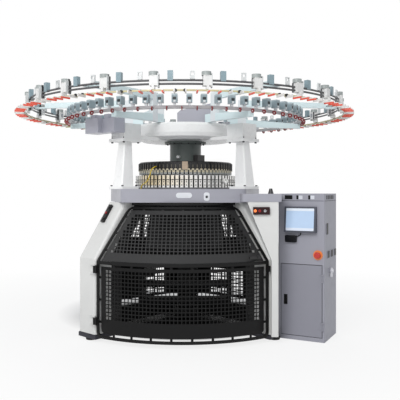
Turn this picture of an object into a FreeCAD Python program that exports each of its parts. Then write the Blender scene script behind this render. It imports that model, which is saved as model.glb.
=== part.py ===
# Circular double-jersey knitting machine, in millimetres.
# Origin on the floor under the cylinder's axis, front towards -Y, +Z up.
# Azimuths are in degrees round the axis, 0 at the front and growing towards +X.
import FreeCAD, Part
import math
import os

import Sketcher
from FreeCAD import Placement, Rotation, Vector

UP = Vector(0, 0, 1)
CENTRE = Vector(0, 0, 0)

# ---------------------------------------------------------------- driving sizes
SIZES = [
    ("pad_height", 20, "rubber pad under each foot"),
    ("pad_radius", 50, "rubber pad radius"),
    ("base_thick", 40, "base casting and its foot plates"),
    ("base_arm_width", 140, "arm of the base casting"),
    ("foot_plate_width", 228, "foot plate under a leg"),
    ("boss_radius", 120, "centre boss of the base"),
    ("boss_height", 90, "centre boss of the base above the pads"),
    ("pivot_radius", 30, "lower pivot of the take-down frame"),
    ("running_gap", 0.05, "radial clearance of a shaft"),
    ("seat_gap", 0.3, "gap beside a moving piece"),
    ("leg_azimuth", 42.4, "front legs, each side of the front"),
    ("leg_width", 224, "leg casing across"),
    ("leg_reach", 1200, "outer face of a leg below the knee"),
    ("leg_top_reach", 880, "outer face of a leg under the bed"),
    ("leg_depth", 280, "leg casing, radially"),
    ("leg_round", 28, "rounding of the outer edges of a leg"),
    ("knee_height", 690, "bend in the outer face of a leg"),
    ("bed_under", 1153, "underside of the bed plate"),
    ("bed_thick", 117, "bed plate"),
    ("bed_front", 806, "bed plate's front edge from the axis"),
    ("bed_half_width", 710, "bed plate, half across"),
    ("bed_front_half", 535, "half of the bed plate's front edge"),
    ("bed_back", 870, "bed plate's rear edge from the axis"),
    ("bed_bore", 430, "radius of the bed plate's bore"),
    ("column_azimuth", 44, "front columns, each side of the front"),
    ("column_inner", 715, "inner face of a column from the axis"),
    ("column_foot_depth", 139, "column at its foot, radially"),
    ("column_top_depth", 91, "column at its top, radially"),
    ("column_foot_width", 134, "column at its foot, across"),
    ("column_top_width", 91, "column at its top, across"),
    ("column_edge", 10, "corners cut off a column's section"),
    ("column_flange", 24, "thickness of the column's foot flange"),
    ("column_flange_width", 190, "foot flange across"),
    ("column_flange_depth", 184, "foot flange, radially"),
    ("crown_under", 1690, "underside of the crown's column flanges"),
    ("crown_flange", 28, "thickness of the crown's column flanges"),
    ("crown_flange_size", 206, "side of the crown's column flanges"),
    ("lug_width", 180, "crown arm towards a column"),
    ("lug_reach", 845, "end of a crown arm from the axis"),
    ("lug_top", 1852, "top of a crown arm's block over its column"),
    ("lug_inner", 650, "inner face of a crown arm's block from the axis"),
    ("lug_low_top", 1750, "top of a crown arm beside the drum"),
    ("crown_radius", 485, "crown drum"),
    ("crown_low", 1733, "underside of the crown drum"),
    ("crown_top", 1885, "top of the crown drum"),
    ("arm_first", 30, "azimuth of the first feeder arm"),
    ("arm_thick", 46, "feeder arm across"),
    ("arm_root", 420, "inner end of a feeder arm"),
    ("arm_post_out", 600, "outer face of a feeder arm's post"),
    ("arm_post_in", 520, "inner face of a feeder arm's post"),
    ("low_arm_reach", 1136, "tip of the lower arm"),
    ("low_arm_tip_under", 1868, "underside of the lower arm's tip"),
    ("low_arm_tip_top", 1915, "top of the lower arm's tip"),
    ("low_arm_root_top", 1962, "top of the lower arm's root"),
    ("high_arm_reach", 1390, "tip of the upper arm"),
    ("high_arm_root_under", 2084, "underside of the upper arm's root"),
    ("high_arm_tip_under", 2071, "underside of the upper arm's tip"),
    ("high_arm_tip_top", 2119, "top of the upper arm's tip"),
    ("high_arm_root_top", 2150, "top of the upper arm's root"),
    ("inner_rail_radius", 1120, "middle of the inner feeder rail"),
    ("inner_rail_width", 30, "inner feeder rail, radially"),
    ("inner_rail_thick", 25, "inner feeder rail, height"),
    ("inner_feeders", 60, "yarn feeders on the inner rail"),
    ("feeder_width", 46, "yarn feeder box across"),
    ("feeder_depth", 58, "yarn feeder box, radially"),
    ("feeder_height", 70, "yarn feeder box, height"),
    ("feeder_neck", 22, "yarn feeder's clamp below the box"),
    ("feeder_disc_radius", 18, "yarn feeder's tension disc"),
    ("outer_rail_radius", 1500, "outer feeder rails"),
    ("outer_rail_bar", 8, "radius of an outer rail's bar"),
    ("outer_rail_high", 2072, "upper outer rail"),
    ("outer_rail_low", 2045, "lower outer rail"),
    ("outer_heads", 24, "yarn heads on the outer rails"),
    ("head_width", 60, "yarn head block across"),
    ("head_depth", 60, "yarn head block, radially"),
    ("head_height", 76, "yarn head block, height"),
    ("head_under", 2030, "underside of a yarn head block"),
    ("guide_ring_radius", 1542, "guide ring"),
    ("guide_ring_width", 14, "guide ring, radially"),
    ("guide_ring_under", 1985, "underside of the guide ring"),
    ("guide_ring_thick", 12, "guide ring, height"),
    ("clips_per_head", 5, "yarn clips for each head"),
    ("clip_reach", 1620, "outer end of a yarn clip"),
    ("clip_inner", 1532, "inner end of a yarn clip"),
    ("clip_thick", 10, "yarn clip across"),
    ("clip_height", 20, "yarn clip, height"),
    ("drum_radius", 154, "dial drum"),
    ("drum_flange_radius", 205, "dial drum's bolted flange"),
    ("drum_flange_thick", 20, "dial drum's bolted flange"),
    ("drum_low", 1526, "seat of the dial drum on the dial cam ring"),
    ("shaft_radius", 40, "dial shaft"),
    ("dial_ring_radius", 458, "dial cam ring"),
    ("dial_ring_low", 1446, "underside of the dial cam ring's skirt"),
    ("dial_ring_plate", 20, "top plate of the dial cam ring"),
    ("sections", 72, "knitting sections round the machine"),
    ("finger_width", 9, "yarn finger across"),
    ("finger_depth", 6, "yarn finger, radially"),
    ("dial_radius", 372, "rotating dial"),
    ("dial_low", 1408, "underside of the rotating dial"),
    ("dial_thick", 30, "rotating dial"),
    ("cam_outer", 492, "outside of the cylinder cam boxes"),
    ("cam_inner", 393, "inside of the cylinder cam ring"),
    ("cam_height", 127, "cylinder cam ring above the bed"),
    ("cam_slot_width", 9, "slot between two cam boxes"),
    ("cam_slot_depth", 22, "slot between two cam boxes"),
    ("cylinder_radius", 385, "needle cylinder outside"),
    ("cylinder_inner", 350, "needle cylinder inside"),
    ("cylinder_top", 1402, "top of the needle cylinder"),
    ("gear_module", 10, "module of the main gear"),
    ("gear_teeth", 100, "teeth of the main gear"),
    ("pinion_teeth", 20, "teeth of the motor pinion"),
    ("gear_under", 1108, "underside of the main gear"),
    ("gear_thick", 37, "main gear"),
    ("motor_azimuth", 110, "motor beside the take-down frame"),
    ("motor_radius", 85, "motor body"),
    ("motor_height", 300, "motor body"),
    ("takedown_plate_x", 430, "middle of a take-down side plate"),
    ("takedown_plate_thick", 30, "take-down side plate"),
    ("takedown_plate_half", 165, "half width of a take-down side plate"),
    ("takedown_low", 150, "bottom of the take-down side plates"),
    ("roller_radius", 45, "take-down rollers"),
    ("roller_height", 565, "axis of the take-down rollers"),
    ("roller_nip", 4, "gap between the take-down rollers"),
    ("winder_radius", 34, "cloth winding roller"),
    ("winder_height", 330, "axis of the cloth winding roller"),
    ("journal_radius", 15, "journal of a roller"),
    ("gate_clearance", 12, "gap between the gate and a leg"),
    ("gate_low", 40, "bottom of the gate"),
    ("gate_knee", 675, "bend of the gate"),
    ("gate_top", 1117, "top of the gate"),
    ("gate_top_radius", 850, "gate's radius at its top"),
    ("gate_bar", 25, "width of the gate's frame bar"),
    ("gate_bar_thick", 10, "thickness of the gate's frame bar"),
    ("gate_slot", 14, "slot between the frame bar and the mesh"),
    ("gate_round", 55, "rounding of the gate's outer corners"),
    ("mesh_thick", 3, "gate mesh sheet"),
    ("mesh_pitch", 54, "pitch of the mesh holes across"),
    ("mesh_rise", 41, "pitch of the mesh holes upwards"),
    ("mesh_hole", 40, "mesh hole across"),
    ("mesh_hole_rise", 30, "mesh hole, height"),
    ("hinge_pin", 5, "radius of the gate's hinge pins"),
    ("hinge_barrel", 11, "radius of the gate's hinge barrels"),
    ("hinge_stand", 12, "hinge axis in front of the leg's face"),
    ("hinge_length", 60, "gate hinge barrel"),
    ("panel_stand", 60.24, "front of the side panel ahead of the gate's corner"),
    ("panel_width", 55.406, "side panel's front across, below the knee"),
    ("panel_sheet", 3, "sheet of the side panel"),
    ("duct_low", 1165, "underside of the cable duct"),
    ("duct_height", 65, "cable duct"),
    ("cabinet_aside", 385, "cabinet's nearest corner from the side panel's right edge"),
    ("cabinet_behind", 40, "cabinet's nearest corner behind the side panel's front"),
    ("cabinet_yaw", 27, "cabinet's turn away from the front"),
    ("cabinet_width", 400, "cabinet across"),
    ("cabinet_depth", 390, "cabinet, front to back"),
    ("cabinet_height", 1230, "cabinet, height"),
    ("cabinet_sheet", 4, "cabinet's sheet"),
    ("door_left", 22, "door opening from the cabinet's left edge"),
    ("door_right", 18, "door opening from the cabinet's right edge"),
    ("door_low", 35, "bottom of the door opening"),
    ("door_high", 640, "top of the door opening"),
    ("door_gap", 1.5, "gap round the cabinet door"),
    ("door_thick", 18, "cabinet door"),
    ("button_radius", 12, "push button"),
    ("button_travel", 3, "travel of a push button"),
    ("button_stand", 9, "push button out of its box"),
    ("stop_radius", 27, "emergency stop's mushroom head"),
    ("stop_travel", 5, "travel of the emergency stop"),
    ("bolt_radius", 6, "frame bolt's shank"),
    ("bolt_head", 10, "frame bolt's head, radius"),
]

doc = FreeCAD.newDocument("knitting_machine")
sheet = doc.addObject("Spreadsheet::Sheet", "sizes")
for row, (alias, value, meaning) in enumerate(SIZES, 1):
    sheet.set(f"A{row}", meaning)
    sheet.set(f"B{row}", str(value))
    sheet.setAlias(f"B{row}", alias)
doc.recompute()

PARTS = []


def size(alias):
    """A driving size read from the sheet."""
    return float(sheet.get(alias))


# ---------------------------------------------------------------- helpers
def keep(piece, label):
    """Name a finished sub-part and list it for writing."""
    piece.Label = label
    PARTS.append(piece)
    return piece


def shaped(label, shape, placement=None):
    """A sub-part whose shape is set from the sheet's sizes."""
    piece = doc.addObject("Part::Feature", label)
    piece.Shape = shape
    if placement:
        piece.Placement = placement
    return keep(piece, label)


def turned(azimuth, height=0):
    """Placement that carries a piece drawn at the front to an azimuth."""
    return Placement(Vector(0, 0, height), Rotation(UP, azimuth))


def round_axis(shape, azimuth):
    """Copy of a shape drawn at the front, turned to an azimuth."""
    copy = shape.copy()
    copy.rotate(CENTRE, UP, azimuth)
    return copy


def point_at(radius, azimuth, height=0):
    """Point at a radius and azimuth."""
    angle = math.radians(azimuth)
    return Vector(radius * math.sin(angle), -radius * math.cos(angle), height)


def box(x0, x1, y0, y1, z0, z1):
    """Box between two corners."""
    return Part.makeBox(x1 - x0, y1 - y0, z1 - z0, Vector(x0, y0, z0))


def rod(radius, start, end):
    """Round rod between two points."""
    along = end - start
    return Part.makeCylinder(radius, along.Length, start, along)


def turned_profile(points, azimuth_from=-180, azimuth_to=180):
    """Solid of revolution: (radius, height) points turned about the axis."""
    corners = [Vector(0, -radius, height) for radius, height in points]
    face = Part.Face(Part.makePolygon(corners + corners[:1]))
    face.rotate(CENTRE, UP, azimuth_from)
    return face.revolve(CENTRE, UP, azimuth_to - azimuth_from)


def ring(inner, outer, low, high, azimuth_from=-180, azimuth_to=180):
    """Ring or ring sector of rectangular section."""
    corners = [(inner, low), (outer, low), (outer, high), (inner, high)]
    return turned_profile(corners, azimuth_from, azimuth_to)


def prism(points, direction):
    """Solid swept from a closed outline along a straight direction."""
    return Part.Face(Part.makePolygon(points + points[:1])).extrude(direction)


def origin_feature(body, role):
    """One of a body's own origin planes or axes."""
    return [item for item in body.Origin.OriginFeatures if item.Role == role][0]


def outline(body, role, corners, name, offset=None):
    """Closed sketch outline whose corners follow formulas of the sheet."""
    sketch = body.newObject("Sketcher::SketchObject", name)
    sketch.AttachmentSupport = (origin_feature(body, role), [""])
    sketch.MapMode = "FlatFace"
    if offset:
        sketch.setExpression("AttachmentOffset.Base.z", offset)
    count = len(corners)
    spread = [Vector(100 * math.cos(2 * math.pi * i / count), 100 * math.sin(2 * math.pi * i / count), 0)
              for i in range(count)]
    for i in range(count):
        sketch.addGeometry(Part.LineSegment(spread[i], spread[(i + 1) % count]))
    for i in range(count):
        sketch.addConstraint(Sketcher.Constraint("Coincident", i, 2, (i + 1) % count, 1))
    for i, (across, upward) in enumerate(corners):
        for kind, formula, start in (("DistanceX", across, spread[i].x), ("DistanceY", upward, spread[i].y)):
            index = sketch.addConstraint(Sketcher.Constraint(kind, -1, 1, i, 1, start))
            sketch.setExpression(f"Constraints[{index}]", formula)
    return sketch


def padded_body(name, role, corners, length):
    """Body padded both ways from one outline."""
    body = doc.addObject("PartDesign::Body", name)
    pad = body.newObject("PartDesign::Pad", f"{name}_pad")
    pad.Profile = outline(body, role, corners, f"{name}_outline")
    pad.SideType = "Symmetric"
    pad.setExpression("Length", length)
    return body, pad


def turn_body(body, formula):
    """Turn a body drawn at the front to the azimuth that a formula gives."""
    body.Placement = Placement(CENTRE, Rotation(UP, 1))
    body.setExpression("Placement.Rotation.Angle", formula)


def upright_edges(shape, wanted):
    """Names of a shape's vertical edges whose middle passes a test."""
    names = []
    for index, edge in enumerate(shape.Edges, 1):
        bounds = edge.BoundBox
        if bounds.XLength < 1e-3 and bounds.YLength < 1e-3 and wanted(edge.CenterOfMass):
            names.append(f"Edge{index}")
    return names


# ---------------------------------------------------------------- shared places
base_top = size("pad_height") + size("base_thick")
bed_top = size("bed_under") + size("bed_thick")
leg_half = size("leg_width") / 2
gear_radius = size("gear_module") * size("gear_teeth") / 2
pinion_radius = size("gear_module") * size("pinion_teeth") / 2
gear_top = size("gear_under") + size("gear_thick")
column_middle = size("column_inner") + size("column_top_depth") / 2
gate_corner = Rotation(UP, size("leg_azimuth")).multVec(
    Vector(-leg_half - size("gate_clearance"), -size("leg_reach"), 0))
panel_left = gate_corner.x + size("gate_clearance")
panel_right = panel_left + size("panel_width")
panel_front = size("panel_stand") - gate_corner.y
LEG_AZIMUTHS = (("front_left", "-sizes.leg_azimuth", -size("leg_azimuth")),
                ("front_right", "sizes.leg_azimuth", size("leg_azimuth")),
                ("rear", "180", 180))
COLUMN_AZIMUTHS = (("front_left", "-sizes.column_azimuth", -size("column_azimuth")),
                   ("front_right", "sizes.column_azimuth", size("column_azimuth")),
                   ("rear", "180", 180))


def leg_reach_at(height):
    """Outer face of a leg from the axis, at a height."""
    if height <= size("knee_height"):
        return size("leg_reach")
    share = (height - size("knee_height")) / (size("bed_under") - size("knee_height"))
    return size("leg_reach") + share * (size("leg_top_reach") - size("leg_reach"))


# ---------------------------------------------------------------- base and legs
def make_rubber_feet():
    """Two rubber pads under each foot plate, tapered a little."""
    pads = []
    for name, formula, azimuth in LEG_AZIMUTHS:
        for inset in (0.18, 0.82):
            reach = size("leg_reach") - inset * size("leg_depth")
            spot = point_at(reach, azimuth)
            low = size("pad_radius") * 0.9
            pads.append(Part.makeCone(low, size("pad_radius"), size("pad_height"), spot))
    return shaped("rubber_feet", Part.makeCompound(pads))


def make_base():
    """Three-armed base casting with its foot plates and centre boss."""
    low = size("pad_height")
    boss = Part.makeCylinder(size("boss_radius"), size("boss_height"), Vector(0, 0, low))
    pieces = []
    for name, formula, azimuth in LEG_AZIMUTHS:
        inner_end = size("leg_reach") - size("leg_depth") - 20
        half = size("base_arm_width") / 2
        arm = box(-half, half, -inner_end, 0, low, base_top)
        half = size("foot_plate_width") / 2
        plate = box(-half, half, -size("leg_reach"), -inner_end + 30, low, base_top)
        plate = plate.makeChamfer(8, [edge for edge in plate.Edges if edge.CenterOfMass.z > base_top - 1])
        pieces += [round_axis(arm, azimuth), round_axis(plate, azimuth)]
    solid = boss.multiFuse(pieces).removeSplitter()
    bore = Part.makeCylinder(size("pivot_radius") + size("running_gap"), size("boss_height"),
                             Vector(0, 0, base_top))
    return shaped("base_frame", solid.cut([bore, cabinet_room()]))


def cabinet_room():
    """Room that the cabinet and its door take from the right leg's outer corner."""
    room = box(-2, size("cabinet_width") + 200, -300, size("cabinet_depth") + 110,
               0, size("cabinet_height") + 170)
    room.Placement = cabinet_placement()
    return room


def make_legs():
    """Leg casings: upright below the knee, leaning in under the bed."""
    corners = [("-sizes.leg_reach", "sizes.pad_height + sizes.base_thick"),
               ("-sizes.leg_reach", "sizes.knee_height"),
               ("-sizes.leg_top_reach", "sizes.bed_under"),
               ("-sizes.leg_top_reach + sizes.leg_depth", "sizes.bed_under"),
               ("-sizes.leg_reach + sizes.leg_depth", "sizes.knee_height"),
               ("-sizes.leg_reach + sizes.leg_depth", "sizes.pad_height + sizes.base_thick")]
    for name, formula, azimuth in LEG_AZIMUTHS:
        body, pad = padded_body(f"leg_casing_{name}", "YZ_Plane", corners, "sizes.leg_width")
        doc.recompute()
        outer = []
        for index, edge in enumerate(pad.Shape.Edges, 1):
            middle = edge.CenterOfMass
            on_side = abs(abs(middle.x) - leg_half) < 0.01 and edge.BoundBox.ZLength > 1
            if on_side and middle.y < -leg_reach_at(middle.z) + 1:
                outer.append(f"Edge{index}")
        rounding = body.newObject("PartDesign::Fillet", f"leg_casing_{name}_round")
        rounding.Base = (pad, outer)
        rounding.setExpression("Radius", "sizes.leg_round")
        turn_body(body, formula)
        if name == "rear":
            keep(body, "leg_rear")
            continue
        if name == "front_right":
            room = doc.addObject("Part::Feature", "cabinet_room")
            room.Shape = cabinet_room()
            leg = doc.addObject("Part::Cut", "leg_beside_cabinet")
            leg.Base = body
            leg.Tool = room
            keep(leg, "leg_front_right")
            continue
        doc.recompute()
        brackets = make_hinge_brackets()
        leg = doc.addObject("Part::MultiFuse", "leg_with_hinges")
        leg.Shapes = [body, brackets]
        keep(leg, "leg_front_left")


def hinge_centre(height):
    """Gate hinge axis, just in front of the left leg's inner front edge."""
    spot = Vector(leg_half + size("gate_clearance") / 2, -size("leg_reach") - size("hinge_stand"), height)
    return Rotation(UP, -size("leg_azimuth")).multVec(spot)


HINGE_HEIGHTS = (180, 607)


def make_hinge_brackets():
    """Pins of the gate's hinges with the ears that carry them on the leg."""
    half = size("hinge_length") / 2
    reach = size("leg_reach")
    pieces = []
    for height in HINGE_HEIGHTS:
        centre = hinge_centre(height)
        for side in (-1, 1):
            low = height + side * (half + size("seat_gap")) + (0 if side > 0 else -8)
            ear = box(leg_half - 50, leg_half + size("gate_clearance") / 2,
                      -reach - size("hinge_stand") - 8, -reach + 6, low, low + 8)
            eye = Part.makeCylinder(8, 8, Vector(centre.x, centre.y, low))
            pieces.append(round_axis(ear, -size("leg_azimuth")).fuse(eye))
        foot = Vector(centre.x, centre.y, height - half - 8)
        pieces.append(Part.makeCylinder(size("hinge_pin"), 2 * half + 16, foot))
    brackets = doc.addObject("Part::Feature", "hinge_brackets")
    brackets.Shape = Part.makeCompound([fuse_all(pieces[:3]), fuse_all(pieces[3:])])
    return brackets


def fuse_all(pieces):
    """One solid from several that overlap."""
    return pieces[0].multiFuse(pieces[1:])


# ---------------------------------------------------------------- bed, columns, crown
def make_bed():
    """Bed plate: faceted plate with rounded corners and the cylinder's bore."""
    body = doc.addObject("PartDesign::Body", "bed")
    pad = body.newObject("PartDesign::Pad", "bed_pad")
    half = "sizes.bed_half_width"
    corners = [("-sizes.bed_front_half", "-sizes.bed_front + 16"), ("-270", "-sizes.bed_front"),
               ("270", "-sizes.bed_front"), ("sizes.bed_front_half", "-sizes.bed_front + 16"),
               (half, "-200"), (half, "250"), ("250", "sizes.bed_back"), ("-250", "sizes.bed_back"),
               (f"-{half}", "250"), (f"-{half}", "-200")]
    pad.Profile = outline(body, "XY_Plane", corners, "bed_outline", "sizes.bed_under")
    pad.setExpression("Length", "sizes.bed_thick")
    doc.recompute()
    rounding = body.newObject("PartDesign::Fillet", "bed_round")
    rounding.Base = (pad, upright_edges(pad.Shape, lambda middle: abs(middle.x) > 400 or middle.y > 0))
    rounding.Radius = 45
    doc.recompute()
    bore = body.newObject("PartDesign::SubtractiveCylinder", "bed_bore")
    bore.setExpression("Radius", "sizes.bed_bore")
    bore.setExpression("Height", "sizes.bed_thick + 20")
    bore.Placement = Placement(Vector(0, 0, size("bed_under") - 10), Rotation())
    bore.setExpression("AttachmentOffset.Base.z", "sizes.bed_under - 10")
    keep(body, "bed_plate")


def make_gate_stop():
    """Black curved rail under the bed's front edge that the gate closes on."""
    span = size("leg_azimuth") - 10
    outer = size("gate_top_radius") - size("gate_bar_thick")
    solid = ring(outer - 40, outer, size("bed_under") - 24, size("bed_under"), -span, span)
    return shaped("gate_stop_rail", solid)


def bolt_spots(half_across, half_deep):
    """Bolt places at the four corners of a column's flange, drawn at the front."""
    return [Vector(across * half_across, -column_middle + deep * half_deep, 0)
            for across in (-1, 1) for deep in (-1, 1)]


FLANGE_INSET = 17
FLANGE_SHIFT = 16


def clipped(width, depth):
    """Column section with its four corners cut off, as formulas of the sheet."""
    cut = "sizes.column_edge"
    near = "-sizes.column_inner"
    far = f"{near} - {depth}"
    return [(f"-{width} / 2", f"{far} + {cut}"), (f"-{width} / 2 + {cut}", far),
            (f"{width} / 2 - {cut}", far), (f"{width} / 2", f"{far} + {cut}"),
            (f"{width} / 2", f"{near} - {cut}"), (f"{width} / 2 - {cut}", near),
            (f"-{width} / 2 + {cut}", near), (f"-{width} / 2", f"{near} - {cut}")]


def make_columns():
    """Tapered columns with bolted foot flanges."""
    for name, formula, azimuth in COLUMN_AZIMUTHS:
        body = doc.addObject("PartDesign::Body", f"column_{name}_shaft")
        low = outline(body, "XY_Plane", clipped("sizes.column_foot_width", "sizes.column_foot_depth"),
                      f"column_{name}_foot", "sizes.bed_under + sizes.bed_thick")
        high = outline(body, "XY_Plane", clipped("sizes.column_top_width", "sizes.column_top_depth"),
                       f"column_{name}_head", "sizes.crown_under")
        loft = body.newObject("PartDesign::AdditiveLoft", f"column_{name}_loft")
        loft.Profile = high
        loft.Sections = [low]
        turn_body(body, formula)
        flange = doc.addObject("Part::Box", f"column_{name}_flange")
        flange.setExpression("Length", "sizes.column_flange_width")
        flange.setExpression("Width", "sizes.column_flange_depth")
        flange.setExpression("Height", "sizes.column_flange")
        corner = Vector(-size("column_flange_width") / 2,
                        -column_middle - FLANGE_SHIFT - size("column_flange_depth") / 2, bed_top)
        flange.Placement = Placement(Rotation(UP, azimuth).multVec(corner), Rotation(UP, azimuth))
        both = doc.addObject("Part::MultiFuse", f"column_{name}_whole")
        both.Shapes = [body, flange]
        holes = doc.addObject("Part::Feature", f"column_{name}_holes")
        drills = [Part.makeCylinder(size("bolt_radius") + 0.3, size("column_flange") + 2,
                                    spot + Vector(0, 0, bed_top - 1)) for spot in foot_bolt_spots()]
        holes.Shape = Part.makeCompound([round_axis(drill, azimuth) for drill in drills])
        column = doc.addObject("Part::Cut", f"column_{name}")
        column.Base = both
        column.Tool = holes
        keep(column, f"column_{name}")


def foot_bolt_spots():
    """Bolts in a column's foot flange."""
    shift = Vector(0, -FLANGE_SHIFT, 0)
    half_across = size("column_flange_width") / 2 - FLANGE_INSET
    half_deep = size("column_flange_depth") / 2 - FLANGE_INSET + 3
    return [spot + shift for spot in bolt_spots(half_across, half_deep)]


def crown_bolt_spots():
    """Bolts up through the crown's column flange."""
    half = size("crown_flange_size") / 2 - FLANGE_INSET - 4
    return bolt_spots(half, half)


def make_crown():
    """Crown: a drum with three arms, each ending on a column flange."""
    body = doc.addObject("PartDesign::Body", "crown_drum")
    turning = body.newObject("PartDesign::Revolution", "crown_turning")
    bore = "sizes.shaft_radius + sizes.running_gap"
    corners = [(bore, "sizes.crown_low"), ("sizes.crown_radius - 60", "sizes.crown_low"),
               ("sizes.crown_radius - 12", "sizes.crown_low + 26"),
               ("sizes.crown_radius", "sizes.crown_low + 60"),
               ("sizes.crown_radius", "sizes.crown_top - 22"),
               ("sizes.crown_radius - 14", "sizes.crown_top"), (bore, "sizes.crown_top")]
    turning.Profile = outline(body, "XZ_Plane", corners, "crown_section")
    turning.ReferenceAxis = (origin_feature(body, "Z_Axis"), [""])
    turning.Angle = 360
    pieces = [body]
    for name, formula, azimuth in COLUMN_AZIMUTHS:
        half = size("lug_width") / 2
        low = size("crown_under") + size("crown_flange")
        arm = doc.addObject("Part::Box", f"crown_arm_{name}")
        arm.setExpression("Length", "sizes.lug_width")
        arm.setExpression("Width", "sizes.lug_reach - 330")
        arm.setExpression("Height", "sizes.lug_low_top - sizes.crown_under - sizes.crown_flange")
        corner = Rotation(UP, azimuth).multVec(Vector(-half, -size("lug_reach"), low))
        arm.Placement = Placement(corner, Rotation(UP, azimuth))
        block = doc.addObject("Part::Box", f"crown_block_{name}")
        block.setExpression("Length", "sizes.lug_width")
        block.setExpression("Width", "sizes.lug_reach - sizes.lug_inner")
        block.setExpression("Height", "sizes.lug_top - sizes.crown_under - sizes.crown_flange")
        block.Placement = arm.Placement
        flange = doc.addObject("Part::Box", f"crown_flange_{name}")
        flange.setExpression("Length", "sizes.crown_flange_size")
        flange.setExpression("Width", "sizes.crown_flange_size")
        flange.setExpression("Height", "sizes.crown_flange")
        half = size("crown_flange_size") / 2
        corner = Rotation(UP, azimuth).multVec(Vector(-half, -column_middle - half, size("crown_under")))
        flange.Placement = Placement(corner, Rotation(UP, azimuth))
        pieces += [arm, block, flange]
    whole = doc.addObject("Part::MultiFuse", "crown_whole")
    whole.Shapes = pieces
    holes = doc.addObject("Part::Feature", "crown_holes")
    drills = []
    for name, formula, azimuth in COLUMN_AZIMUTHS:
        for spot in crown_bolt_spots():
            drill = Part.makeCylinder(size("bolt_radius") + 0.3, size("crown_flange") + 30,
                                      spot + Vector(0, 0, size("crown_under") - 1))
            drills.append(round_axis(drill, azimuth))
    drills.append(Part.makeCylinder(PULLEY_SHAFT + size("running_gap"), 400, pulley_spot(1600)))
    holes.Shape = Part.makeCompound(drills)
    crown = doc.addObject("Part::Cut", "crown")
    crown.Base = whole
    crown.Tool = holes
    keep(crown, "crown")


def make_frame_bolts():
    """Bolts of the column feet and of the crown's column flanges."""
    bolts = []
    shank = size("column_flange") - 1
    for name, formula, azimuth in COLUMN_AZIMUTHS:
        for spot in foot_bolt_spots():
            top = spot + Vector(0, 0, bed_top + size("column_flange"))
            bolt = Part.makeCylinder(size("bolt_head"), 10, top)
            bolt = bolt.fuse(Part.makeCylinder(size("bolt_radius"), shank, top - Vector(0, 0, shank)))
            bolts.append(round_axis(bolt, azimuth))
        for spot in crown_bolt_spots():
            seat = spot + Vector(0, 0, size("crown_under"))
            bolt = Part.makeCylinder(size("bolt_head"), 10, seat - Vector(0, 0, 10))
            bolt = bolt.fuse(Part.makeCylinder(size("bolt_radius"), 40, seat))
            bolts.append(round_axis(bolt, azimuth))
    return shaped("frame_bolts", Part.makeCompound(bolts))


# ---------------------------------------------------------------- feeder arms and rings
def make_feeder_arms():
    """Six forked arms on the crown that carry the yarn feeder rings."""
    nose_end = "-sizes.outer_rail_radius + sizes.outer_rail_bar + sizes.seat_gap"
    corners = [("-sizes.arm_root", "sizes.crown_top"), ("-sizes.arm_post_out", "sizes.crown_top"),
               ("-sizes.low_arm_reach", "sizes.low_arm_tip_under"),
               ("-sizes.low_arm_reach", "sizes.low_arm_tip_top"),
               ("-sizes.inner_rail_radius + sizes.inner_rail_width / 2 + 1", "sizes.low_arm_tip_top"),
               ("-sizes.arm_post_out", "sizes.low_arm_root_top - 7"),
               ("-sizes.arm_post_out", "sizes.high_arm_root_under"),
               ("-sizes.high_arm_reach", "sizes.high_arm_tip_under"),
               ("-sizes.high_arm_reach - 1", "sizes.outer_rail_high - 8"),
               (nose_end, "sizes.outer_rail_high - 8"), (nose_end, "sizes.outer_rail_high + 8"),
               ("-sizes.high_arm_reach", "sizes.outer_rail_high + 8"),
               ("-sizes.high_arm_reach", "sizes.high_arm_tip_top"),
               ("-sizes.arm_post_in", "sizes.high_arm_root_top"),
               ("-sizes.arm_post_in", "sizes.low_arm_root_top"),
               ("-sizes.arm_root", "sizes.low_arm_root_top")]
    for count in range(6):
        body, pad = padded_body(f"feeder_arm_{count + 1}", "YZ_Plane", corners, "sizes.arm_thick")
        turn_body(body, f"sizes.arm_first + {60 * count}")
        keep(body, f"feeder_arm_{count + 1}")


def make_inner_ring():
    """Inner rail with its yarn feeders: clamp neck, box and tension disc."""
    radius = size("inner_rail_radius")
    half = size("inner_rail_width") / 2
    low = size("low_arm_tip_top")
    top = low + size("inner_rail_thick")
    rail = ring(radius - half, radius + half, low, top)
    neck = box(-10, 10, -radius - 12, -radius + 12, top - 5, top + size("feeder_neck"))
    across = size("feeder_width") / 2
    deep = size("feeder_depth") / 2
    foot = top + size("feeder_neck")
    housing = box(-across, across, -radius - deep, -radius + deep, foot, foot + size("feeder_height"))
    disc_radius = size("feeder_disc_radius")
    disc_centre = Vector(-4, -radius - half - disc_radius - 3, low - 1)
    disc = Part.makeCylinder(disc_radius, 8, disc_centre, Vector(1, 0, 0))
    stub = box(-3, 3, -radius - half - 14, -radius, low + 3, top - 9)
    tension = disc.fuse(stub)
    tension.rotate(CENTRE, UP, 180 / size("inner_feeders"))
    feeder = neck.fuse(housing)
    count = int(size("inner_feeders"))
    units = [round_axis(piece, 360 * (i + 0.5) / count) for i in range(count) for piece in (feeder, tension)]
    return shaped("inner_feeder_ring", rail.multiFuse(units))


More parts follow.
